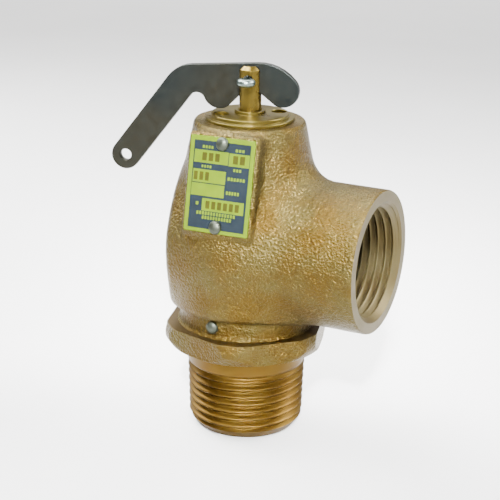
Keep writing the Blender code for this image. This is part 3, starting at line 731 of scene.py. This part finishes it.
def rounded_box(point, half, radius):
    """Distance to a box with rounded edges, for a (x, y, z) list of arrays."""
    over = [np.abs(p) - h + radius for p, h in zip(point, half)]
    outside = np.sqrt(sum(np.maximum(o, 0) ** 2 for o in over))
    return outside + np.minimum(np.maximum.reduce(over), 0) - radius


def plate_matrix():
    """Maps (x right, y up, z outwards) in metres onto the nameplate's front plane."""
    lean = shift(0, -PLATE_FRONT, PLATE_MIDDLE_Z) @ turn(90 - PLATE_LEAN, "X")
    return turn(PLATE_TURN, "Z") @ lean


def casting_distance(x, y, z):
    """Distance to the cast outside of the body: cone and belly, boss and plate pad."""
    profile = np.array(rounded(BODY_PROFILE))
    cone = outline_distance(np.hypot(x, y), z, profile)
    rim = 1.0                   # radius of the boss's outer edge
    boss_radial = np.hypot(y, z - OUTLET_Z) - (OUTLET_R - rim)
    boss_axial = (np.abs(x - BOSS_MIDDLE_X)
                  - (OUTLET_FACE_X + FACE_ALLOWANCE - BOSS_MIDDLE_X - rim))
    boss = (np.hypot(np.maximum(boss_radial, 0), np.maximum(boss_axial, 0))
            + np.minimum(np.maximum(boss_radial, boss_axial), 0) - rim)
    inverse = np.array(plate_matrix().inverted())
    world = (x, y, z)
    local = [sum(inverse[i][k] * world[k] for k in range(3)) + inverse[i][3] / MM for i in range(3)]
    half = (PLATE_SIZE[0] / 2 + PAD_MARGIN, PLATE_SIZE[1] / 2 + PAD_MARGIN, PAD_HALF_DEPTH)
    local[2] = local[2] + PLATE_THICKNESS + PLATE_CLEARANCE + half[2]
    pad = rounded_box(local, half, PAD_EDGE_R)
    return smooth_union(smooth_union(cone, boss, BOSS_FILLET), pad, PAD_FILLET)


def surface_net(field, origin, cell):
    """Points and quads of the surface where a sampled field passes through zero."""
    inside = field < 0
    shape = tuple(n - 1 for n in field.shape)
    corners = list(itertools.product((0, 1), repeat=3))

    def corner(values, c):
        return values[tuple(slice(o, o + n) for o, n in zip(c, shape))]

    total = np.zeros(shape + (3,))
    crossings = np.zeros(shape)
    for start in corners:
        for axis in range(3):
            if start[axis]:
                continue
            end = tuple(1 if k == axis else start[k] for k in range(3))
            f0, f1 = corner(field, start), corner(field, end)
            cut = (f0 < 0) != (f1 < 0)
            share = np.where(cut, f0 / np.where(cut, f0 - f1, 1), 0)
            for k in range(3):
                total[..., k] += cut * (start[k] + (share if k == axis else 0))
            crossings += cut
    used = crossings > 0
    index = np.full(shape, -1)
    index[used] = np.arange(used.sum())
    cells = np.argwhere(used)
    points = (cells + total[used] / crossings[used][:, None]) * cell + origin
    faces = []
    for axis in range(3):
        one, two = [k for k in range(3) if k != axis]
        low = [slice(1, -1)] * 3
        low[axis] = slice(0, -1)
        high = list(low)
        high[axis] = slice(1, None)
        first, second = inside[tuple(low)], inside[tuple(high)]
        at = np.argwhere(first != second)
        base = at + np.array([0 if k == axis else 1 for k in range(3)])
        quad = []
        for da, db in ((0, 0), (-1, 0), (-1, -1), (0, -1)):
            near = base.copy()
            near[:, one] += da
            near[:, two] += db
            quad.append(index[near[:, 0], near[:, 1], near[:, 2]])
        faces.append(np.stack(quad, axis=-1))
    return points, np.concatenate(faces)


def casting():
    """Closed mesh of the body's cast outside."""
    axes = [np.arange(a, b, CELL) for a, b in zip(GRID_LOW, GRID_HIGH)]
    grid = np.meshgrid(*axes, indexing="ij")
    points, faces = surface_net(casting_distance(*grid), np.array(GRID_LOW), CELL)
    body = mesh_object("body_casting", points, faces.tolist())
    elsewhere = 50              # so that the fine ripple doesn't repeat the broad one
    ripple = cast_ripple(points, *BROAD_RIPPLE) + cast_ripple(points + elsewhere, *FINE_RIPPLE)
    moved = points + rows(body.data.vertices, "normal") * ripple[:, None]
    body.data.vertices.foreach_set("co", (moved * MM).ravel())
    body.data.update()
    return body


def outlet_cutter():
    """Cutter for the outlet: face, chamfered mouth, helical thread and passage."""
    angle = np.linspace(0, 2 * math.pi, FEMALE_AROUND, endpoint=False)
    facing_r = 22.0
    rings = [ring_points(facing_r, -4.0, angle), ring_points(facing_r, 0.0, angle)]
    for depth in np.arange(0.0, FEMALE_THREAD_DEPTH + 1.2, PITCH / THREAD_ROWS):
        groove = thread_wave(helix_phase(-depth, angle)) * THREAD_DEPTH
        groove = groove * (1 - fade(depth, FEMALE_THREAD_DEPTH - 1.5, FEMALE_THREAD_DEPTH))
        radius = np.maximum(FEMALE_CREST_R - TAPER * depth + groove, MOUTH_R - depth)
        rings.append(ring_points(radius, depth, angle))
    rings.append(ring_points(OUTLET_PASSAGE_R + 0.2, FEMALE_THREAD_DEPTH + 1.4, angle))
    rings.append(ring_points(OUTLET_PASSAGE_R, OUTLET_FACE_X - OUTLET_PASSAGE_X, angle))
    cutter = swept("cut_outlet", rings, closed=False)
    return place(cutter, shift(OUTLET_FACE_X, 0, OUTLET_Z) @ turn(-90, "Y"))


def valve_body():
    """The cast body with its machined collar, top, bores and outlet."""
    body = casting()
    core = 0.5                  # radius of the flat middle at a cutter's ends
    foot = HEX_TOP + 0.06
    collar = turned("join_collar", [
        (core, foot, 0), (COLLAR_R + 0.6, foot, 0), (COLLAR_R, HEX_TOP + 0.7, 1.0),
        (COLLAR_R, COLLAR_TOP + PAST, 0), (core, COLLAR_TOP + PAST, 0)], closed=False)
    combine(body, collar, "UNION")
    socket_r = SPIGOT_R + 0.05
    inside_top = BODY_TOP + 4
    inside = turned("cut_inside", [
        (core, HEX_TOP - PAST, 0), (socket_r, HEX_TOP - PAST, 0), (socket_r, SPIGOT_TOP, 0),
        (CHAMBER_R, SPIGOT_TOP + 0.4, 0), (CHAMBER_R, CHAMBER_TOP, 1.0), (12.0, GUIDE_LEDGE, 0),
        (SPRING_ROOM_R, GUIDE_LEDGE, 0), (SPRING_ROOM_R, CAP_SOCKET_FOOT - 0.7, 0),
        (CAP_SOCKET_R, CAP_SOCKET_FOOT, 0), (CAP_SOCKET_R, inside_top, 0), (core, inside_top, 0)],
        closed=False)
    combine(body, inside)
    lid_r, lid_top = 20, BODY_TOP + 6
    lid = turned("cut_top", [(core, BODY_TOP, 0), (lid_r, BODY_TOP, 0), (lid_r, lid_top, 0),
                             (core, lid_top, 0)], closed=False)
    combine(body, lid)
    combine(body, outlet_cutter())
    body.name = "valve_body_cast"
    shade(body.data, CUT_SHARP)
    finish(body, "root", "cast_bronze", [CAST, BRASS_OUTLET], "valve_body")
    give_slot(body, machined(*face_rows(body)), 1)


def machined(centers, normals):
    """Which faces of the body are the outlet's face, chamfer and thread, or its own foot."""
    x, y, z = centers.T
    from_outlet = np.hypot(y, z - OUTLET_Z)
    inwards = (normals[:, 1] * y + normals[:, 2] * (z - OUTLET_Z)) < 0
    face = x > OUTLET_FACE_X - 0.01
    thread_start_x = 14.5       # just inside the thread's inner end
    bore = (from_outlet < MOUTH_R + 0.1) & (x > thread_start_x) & inwards
    return face | bore | (z < HEX_TOP + 0.1)


# ---------------------------------------------------------------- nameplate and pins

def drive_head(name, matrix):
    """Domed drive screw with its head on the plane of a matrix."""
    rim = 0.18
    steps = 12                  # from the dome's rim to its middle
    corners = [(DRIVE_SHANK_R, -DRIVE_SHANK_LENGTH, 0), (DRIVE_SHANK_R, PLATE_CLEARANCE, 0),
               (DRIVE_HEAD_R, PLATE_CLEARANCE, 0), (DRIVE_HEAD_R, rim, 0)]
    dome = []
    for k in range(1, steps):
        angle = math.pi / 2 * k / steps
        dome.append((DRIVE_HEAD_R * math.cos(angle),
                     rim + (DRIVE_HEAD_HEIGHT - rim) * math.sin(angle), 0))
    head = turned(name, corners + dome, closed=False, around=48)
    return place(head, matrix)


def rectangle(left, right, bottom, top, corner=0.0):
    """Outline of a rectangle, with rounded corners."""
    return rounded([(left, bottom, corner), (right, bottom, corner),
                    (right, top, corner), (left, top, corner)])


# Printed field, windows and captions on the plate: (left, right, bottom, top) from its middle
FIELD_EDGES = (-6.47, 6.53, -9.4, 9.2)
WINDOWS = ((-6.23, 1.59, 4.5, 7.2), (1.75, 6.43, 4.42, 7.12), (-6.24, 1.33, 0.35, 3.1),
           (-6.34, 1.27, -2.5, 0.13), (-3.57, 6.08, -5.6, -2.95))
CAPTIONS = ((-4.5, -2.05, 7.6, 8.2), (3.1, 5.1, 7.5, 8.1), (-4.4, -2.15, 3.5, 4.05),
            (2.95, 4.75, 3.35, 3.95), (1.85, 5.75, 1.4, 2.05), (1.75, 4.7, -1.6, -0.9),
            (-5.0, -4.4, -4.5, -3.8), (-4.65, 4.25, -6.45, -5.75), (-3.3, 3.45, -7.35, -6.65))
PRINT_LAYER = 0.020             # thickness of each layer of print
PRINT_OVERLAP = 0.002           # of a layer with the one under it
CAPTION_PITCH = 0.62
CAPTION_GAP = 0.2
STAMP_GAP = 0.45
STAMP_DEPTH = 0.016
# Stamped marks in the windows: (left, right, bottom, top, how many)
STAMPS = ((-4.4, -0.4, 5.0, 6.7, 3), (2.7, 5.4, 4.95, 6.7, 2), (-6.0, -2.5, 0.8, 2.6, 3),
          (-2.7, 5.0, -5.1, -3.45, 6))


def marks(name, rows, level, lift, gap):
    """Plain bars that stand where a plate carries words and figures."""
    pieces = []
    for left, right, bottom, top, count in rows:
        width = (right - left + gap) / count
        for k in range(count):
            start = left + k * width
            bar = rectangle(start, start + width - gap, bottom, top, 0.08)
            pieces.append(prism("bar", bar, level, level + lift))
    return joined(name, pieces)


def joined(name, pieces):
    """One object from many."""
    bm = bmesh.new()
    for piece in pieces:
        bm.from_mesh(piece.data)
        bpy.data.objects.remove(piece)
    mesh = bpy.data.meshes.new(name)
    bm.to_mesh(mesh)
    bm.free()
    return new_object(name, mesh)


def nameplate():
    """Plate, dark printed field, clear windows, and plain marks for what it says."""
    x, y = PLATE_SIZE[0] / 2, PLATE_SIZE[1] / 2
    window_top = 2 * PRINT_LAYER
    plate = prism("nameplate_plate", rectangle(-x, x, -y, y, 0.35), -PLATE_THICKNESS, 0, edge=0.07)
    field = prism("nameplate_dark_field", rectangle(*FIELD_EDGES, 0.1), PRINT_OVERLAP,
                  PRINT_OVERLAP + PRINT_LAYER)
    windows = joined("nameplate_windows", [
        prism("window", rectangle(*window, 0.06), PRINT_LAYER, window_top) for window in WINDOWS])
    letters = [(left, right, bottom, top, max(1, round((right - left) / CAPTION_PITCH)))
               for left, right, bottom, top in CAPTIONS]
    captions = marks("nameplate_captions", letters, PRINT_LAYER, PRINT_LAYER, CAPTION_GAP)
    stamps = marks("nameplate_stamps", STAMPS, window_top - PRINT_OVERLAP, STAMP_DEPTH, STAMP_GAP)
    at = plate_matrix()
    finish(place(plate, at), "root", "nameplate_print", [GROUND], "nameplate")
    for piece, look in ((field, FIELD), (windows, GROUND), (captions, GROUND), (stamps, STAMPED)):
        finish(place(piece, at), "root", "nameplate_print", [look])


def drive_screws():
    """Two nameplate screws and the lock pin in the collar."""
    for end, v in (("upper", PLATE_SCREW_V), ("lower", -PLATE_SCREW_V)):
        screw = drive_head("drive_screw_" + end, plate_matrix() @ shift(0, v, 0))
        finish(screw, "root", "pin_steel", [DULL_STEEL], "nameplate_screw_" + end)
    at = shift(0, 0, LOCK_PIN_Z) @ turn(LOCK_PIN_AZIMUTH, "Z") @ turn(90, "Y")
    pin = drive_head("collar_lock_pin", at @ shift(0, 0, COLLAR_R))
    finish(pin, "root", "pin_steel", [DULL_STEEL], "body_lock_pin")


# ---------------------------------------------------------------- cap and stem

def bonnet_cap():
    """Turned cap: flange, disc with two spanner holes, and the stem's collar."""
    flange_foot = BODY_TOP + 0.02
    cap = turned("bonnet_cap_turned", [
        (CAP_ROOM_R, CAP_BOTTOM, 0.2), (CAP_THREAD_R, CAP_BOTTOM, 0.2), (CAP_THREAD_R, flange_foot, 0),
        (CAP_FLANGE_R, flange_foot, 0.08), (CAP_FLANGE_R, CAP_FLANGE_TOP, 0.22),
        (CAP_DISC_R, CAP_FLANGE_TOP, 0.08), (CAP_DISC_R, CAP_DISC_TOP, 0.28),
        (CAP_COLLAR_R, CAP_DISC_TOP, 0.12), (CAP_COLLAR_R, CAP_TOP, 0.22), (CAP_HOLE_R, CAP_TOP, 0.1),
        (CAP_HOLE_R, CAP_ROOM_TOP, 0), (CAP_ROOM_R, CAP_ROOM_TOP, 0.3)])
    core = 0.05
    above = CAP_DISC_TOP + 1.4
    mouth_r = SPANNER_R + SPANNER_CHAMFER
    for azimuth in SPANNER_AZIMUTHS:
        hole = turned("cut_spanner_hole", [
            (core, SPANNER_FLOOR, 0), (SPANNER_R, SPANNER_FLOOR, 0.1), (SPANNER_R, CAP_DISC_TOP - 0.1, 0),
            (mouth_r, CAP_DISC_TOP + 0.05, 0), (mouth_r, above, 0), (core, above, 0)],
            closed=False, around=48)
        combine(cap, place(hole, turn(azimuth, "Z") @ shift(SPANNER_OUT, 0, 0)))
    shade(cap.data, CUT_SHARP)
    finish(cap, "root", "machined_brass", [BRASS_CAP], "bonnet_cap")


def lever_matrix():
    """Maps the lever's own (x, y, thickness) onto its plane, pivot at the origin."""
    return (shift(0, 0, PIVOT_Z) @ turn(LEVER_PLANE, "Z") @ turn(90, "X")
            @ turn(LEVER_DROOP, "Z"))


def stem():
    """Rod with a chamfered, forked top."""
    core = 0.3
    foot_r = STEM_R - STEM_FOOT_CHAMFER
    rod = turned("stem_turned", [
        (foot_r, STEM_BOTTOM, 0), (STEM_R, STEM_BOTTOM + STEM_FOOT_CHAMFER, 0),
        (STEM_R, RING_GROOVE_BOTTOM, 0), (RING_GROOVE_R, RING_GROOVE_BOTTOM, 0),
        (RING_GROOVE_R, RING_GROOVE_TOP, 0), (STEM_R, RING_GROOVE_TOP, 0),
        (STEM_R, STEM_TOP - STEM_CHAMFER, 0.1), (STEM_R - STEM_CHAMFER, STEM_TOP, 0.1),
        (core, STEM_TOP, 0)], closed=False, around=96)
    slot_reach, hole_reach = 4, 5       # of the cutters, from the stem's axis
    above = 86
    slot = prism("cut_slot", rectangle(-slot_reach, slot_reach, -SLOT_WIDTH / 2, SLOT_WIDTH / 2),
                 SLOT_FLOOR, above)
    combine(rod, place(slot, turn(LEVER_PLANE, "Z")))
    hole = prism("cut_cross_hole", circle(PIVOT_HOLE_R), -hole_reach, hole_reach)
    combine(rod, place(hole, lever_matrix()))
    shade(rod.data, CUT_SHARP)
    finish(rod, "spindle", "machined_brass", [BRASS], "stem")


def handle_point(along, across):
    """Point on the handle: along its slope from the pivot, and across from its middle."""
    slope = math.radians(HANDLE_SLOPE)
    run = Vector((-math.cos(slope), -math.sin(slope)))
    out = Vector((-math.sin(slope), math.cos(slope)))
    return run * along + out * (HANDLE_MIDDLE + across)


def lift_lever():
    """Flat stamped lever with rolled-over edges."""
    tip_end = HANDLE_LENGTH + HANDLE_HALF_WIDTH
    tip_r = HANDLE_HALF_WIDTH * 0.99    # just under half the width, so that two corners fit
    outline = rounded([
        (-16.2, LEVER_BACK, 7.2), (6.86, LEVER_BACK, 10.2),
        (14.25, FOOT_LEVEL, FOOT_CORNER_R), (ARCH_FOOT_X, FOOT_LEVEL, ARCH_FOOT_R),
        (ARCH_X, ARCH_TOP, ARCH_CORNER_R), (-ARCH_X, ARCH_TOP, ARCH_CORNER_R),
        (-ARCH_FOOT_X, FOOT_LEVEL, ARCH_FOOT_R), (-9.59, FOOT_LEVEL, FOOT_CORNER_R),
        (-11.5, -0.9, 1.8), (*handle_point(tip_end, -HANDLE_HALF_WIDTH), tip_r),
        (*handle_point(tip_end, HANDLE_HALF_WIDTH), tip_r)])
    half = LEVER_THICKNESS / 2
    core = 0.01
    lever = prism("lift_lever_plate", outline, -half, half, edge=LEVER_EDGE)
    for name, radius, x, y in (("pivot", PIVOT_HOLE_R, 0, 0),
                               ("grip", HANDLE_HOLE_R, *handle_point(HANDLE_LENGTH, 0))):
        flare = radius + LEVER_EDGE + PAST
        hole = turned("cut_" + name, [
            (core, -half - PAST, 0), (flare, -half - PAST, 0), (radius, LEVER_EDGE - half, 0),
            (radius, half - LEVER_EDGE, 0), (flare, half + PAST, 0), (core, half + PAST, 0)],
            closed=False, around=64)
        combine(lever, place(hole, shift(x, y, 0)))
    keep_flat(lever)
    finish(place(lever, lever_matrix()), "lever", "plated_steel", [PLATED], "lift_lever")


def split_pin():
    """Half-round wire folded into a loop, its legs spread behind the stem."""
    # From a leg's spread tip, through the hole, to where the loop starts
    leg = rounded([(-5.9, 2.5, 0), (-2.85, 0.05, 1.4), (2.7, 0.05, 1.0), (3.4, 0.9, 0)], closed=False)
    loop = []
    for k in range(2 * PIN_LOOP_STEPS + 1):
        angle = math.radians(PIN_LOOP_HALF_TURN * (1 - k / PIN_LOOP_STEPS))
        loop.append((PIN_LOOP_MIDDLE + PIN_LOOP_R * math.cos(angle), PIN_LOOP_R * math.sin(angle)))
    path = [Vector(p) for p in leg[:-1] + loop + [(x, -y) for x, y in reversed(leg[:-1])]]
    half_round = [(math.cos(a), math.sin(a)) for a in np.radians(np.arange(-90, 91, 12))]
    section = half_round + [(-0.02, 0.5), (-0.02, -0.5)]
    rings = []
    for i, point in enumerate(path):
        along = (path[min(i + 1, len(path) - 1)] - path[max(i - 1, 0)]).normalized()
        out = along.orthogonal() * WIRE_R
        rings.append([(point.x + out.x * u, point.y + out.y * u, WIRE_R * v) for u, v in section])
    pin = swept("split_pin", rings, closed=False, sharp=40)
    place(pin, shift(0, 0, PIVOT_Z) @ turn(LEVER_PLANE - 90, "Z"))
    finish(pin, "spindle", "pin_steel", [ZINC], "lever_cotter_pin")


# ---------------------------------------------------------------- working parts inside

def plain_ring(inner, outer, thickness):
    """Outline of a plain ring that stands on height 0."""
    soft = SMALL_FILLET
    return [(inner, 0, soft), (outer, 0, soft), (outer, thickness, soft), (inner, thickness, soft)]


def inside_parts():
    """Turned pieces between the seat and the cap, each stood on the foot of its CAD node."""
    soft = SMALL_FILLET
    step_height = 2.7
    lower_step = [(ROD_HOLE_R, 0, soft), (7.3, 0, soft), (7.3, 1.4, soft), (4.5, 1.4, 0),
                  (4.2, step_height, soft), (ROD_HOLE_R, step_height, soft)]
    upper_step = [(radius, step_height - height, fillet)
                  for radius, height, fillet in reversed(lower_step)]
    guide = [(5.5, 0, soft), (8.3, 0, soft), (8.3, 0.5, 0), (11.3, 0.5, soft),
             (11.3, 1.8, soft), (8.3, 1.8, 0), (8.3, 6.4, soft), (5.5, 6.4, soft)]
    holder = [(9.9, 0, soft), (11.0, 0, soft), (11.0, 4.3, 0.6), (5.2, 4.3, 0.4),
              (5.2, 19.0, soft), (ROD_HOLE_R, 19.0, soft), (ROD_HOLE_R, 10.0, 0), (4.0, 10.0, 0),
              (4.0, 1.3, 0), (9.9, 1.3, 0)]
    seat = plain_ring(4.0, 9.6, 1.6)
    retainer = plain_ring(4.0, 6.6, 0.7)
    stop = plain_ring(ROD_HOLE_R, 3.6, 0.8)
    pieces = (
        ("lower_step_turned", "lower_spring_step", "disc_assembly", "machined_brass", BRASS, lower_step),
        ("upper_step_turned", "upper_spring_step", "root", "machined_brass", BRASS, upper_step),
        ("disc_guide_turned", "disc_guide", "root", "machined_brass", BRASS, guide),
        ("disc_holder_turned", "disc_holder", "disc_assembly", "machined_brass", BRASS, holder),
        ("seat_disc_moulded", "seat_disc", "disc_assembly", "soft_seat", RUBBER, seat),
        ("retainer_washer", "disc_retainer_washer", "disc_assembly", "pin_steel", STEEL, retainer),
        ("stop_washer", "stem_stop_washer", "spindle", "pin_steel", STEEL, stop))
    for name, node, body, slot, look, corners in pieces:
        foot = box(node)[0][2]
        raised = [(radius, foot + height, fillet) for radius, height, fillet in corners]
        finish(turned(name, raised, around=144), body, slot, [look], node)


def kept_nodes():
    """CAD nodes whose shape is right, with their finished materials."""
    for node, look in (("disc_retainer_screw", STEEL), ("regulating_ring", BRASS),
                       ("stem_retaining_ring", SPRING_STEEL), ("main_spring", SPRING_STEEL)):
        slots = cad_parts[node].data.materials
        slots.clear()
        slots.append(look)


# ---------------------------------------------------------------- studio

# Area lights in metres, degrees and watts: (name, place, aim, size, spread, power)
LIGHTS = (
    ("back", (-0.40, 0.85, 0.90), (-0.28, 0.50, 0.0), 1.00, 100, 10.0),
    ("left", (-0.40, 0.10, 0.40), (-0.16, 0.05, 0.0), 0.30, 80, 2.6),
    ("top", (-0.14, -0.10, 0.50), (0.003, 0.0, 0.045), 0.22, 50, 0.5),
    ("key", (0.22, -0.50, 0.46), (0.008, 0.0, 0.056), 0.10, 12, 0.28),
    ("right", (0.42, 0.24, 0.40), (0.15, 0.08, 0.0), 0.30, 80, 2.9),
    ("outlet", (0.42, -0.22, 0.16), (0.02, 0.0, 0.043), 0.14, 40, 0.05))
SKY_COLOR = (1.0, 0.95, 0.88, 1.0)
SKY_STRENGTH = 0.32
FLOOR_SIZE = 8.0                # metres
FLOOR_DROP = 0.0002             # metres under the valve, so that the two don't share a plane


def studio():
    """Pale floor and soft lights."""
    bpy.ops.mesh.primitive_plane_add(size=FLOOR_SIZE, location=(0, 0, -FLOOR_DROP))
    floor = bpy.context.object
    floor.name = "floor"
    s = Surface("pale_floor", 0.0, 0.6)
    s.color(s.ramp(s.noise(60.0), (0.3, (0.80, 0.80, 0.80)), (0.7, (0.83, 0.83, 0.83))))
    floor.data.materials.append(s.material)
    world = bpy.data.worlds.new("studio")
    bpy.context.scene.world = world
    world.use_nodes = True
    background = world.node_tree.nodes["Background"]
    background.inputs["Color"].default_value = SKY_COLOR
    background.inputs["Strength"].default_value = SKY_STRENGTH
    for light in LIGHTS:
        add_light(*light)


def add_light(name, stand, aim, size, spread, power):
    """A square area light that points at its aim."""
    light = bpy.data.lights.new(name, "AREA")
    light.size = size
    light.energy = power
    light.spread = math.radians(spread)
    lamp = new_object(name, light)
    lamp.location = stand
    lamp.rotation_euler = (Vector(aim) - Vector(stand)).to_track_quat("-Z", "Y").to_euler()


# Camera, solved from the photograph's circles
VIEW_AZIMUTH = 26.529           # to the right of the front
VIEW_ELEVATION = 18.617
VIEW_ROLL = 0.9236
VIEW_DISTANCE = 306.32
VIEW_SIDE = 0.456               # of the aim, to the right of the valve's axis
VIEW_HEIGHT = 40.984            # of the aim
LENS = 98.02
SENSOR_WIDTH = 36.0


def camera():
    """Camera at the product photograph's angle: a long lens from the front, right and above."""
    azimuth, elevation, roll = (math.radians(a) for a in (VIEW_AZIMUTH, VIEW_ELEVATION, VIEW_ROLL))
    back = Vector((math.sin(azimuth) * math.cos(elevation),
                   -math.cos(azimuth) * math.cos(elevation), math.sin(elevation)))
    right = Vector((math.cos(azimuth), math.sin(azimuth), 0))
    up = back.cross(right)
    turned_right = right * math.cos(roll) + up * math.sin(roll)
    turned_up = up * math.cos(roll) - right * math.sin(roll)
    stand = (Vector((0, 0, VIEW_HEIGHT)) + right * VIEW_SIDE + back * VIEW_DISTANCE) * MM
    data = bpy.data.cameras.new("camera")
    data.lens = LENS
    data.sensor_width = SENSOR_WIDTH
    data.clip_start = 0.01
    view = new_object("camera", data)
    rotation = Matrix((turned_right, turned_up, back)).transposed()
    view.matrix_world = Matrix.Translation(stand) @ rotation.to_4x4()
    bpy.context.scene.camera = view


inlet_base()
valve_body()
nameplate()
drive_screws()
bonnet_cap()
stem()
lift_lever()
split_pin()
inside_parts()
kept_nodes()
studio()
camera()
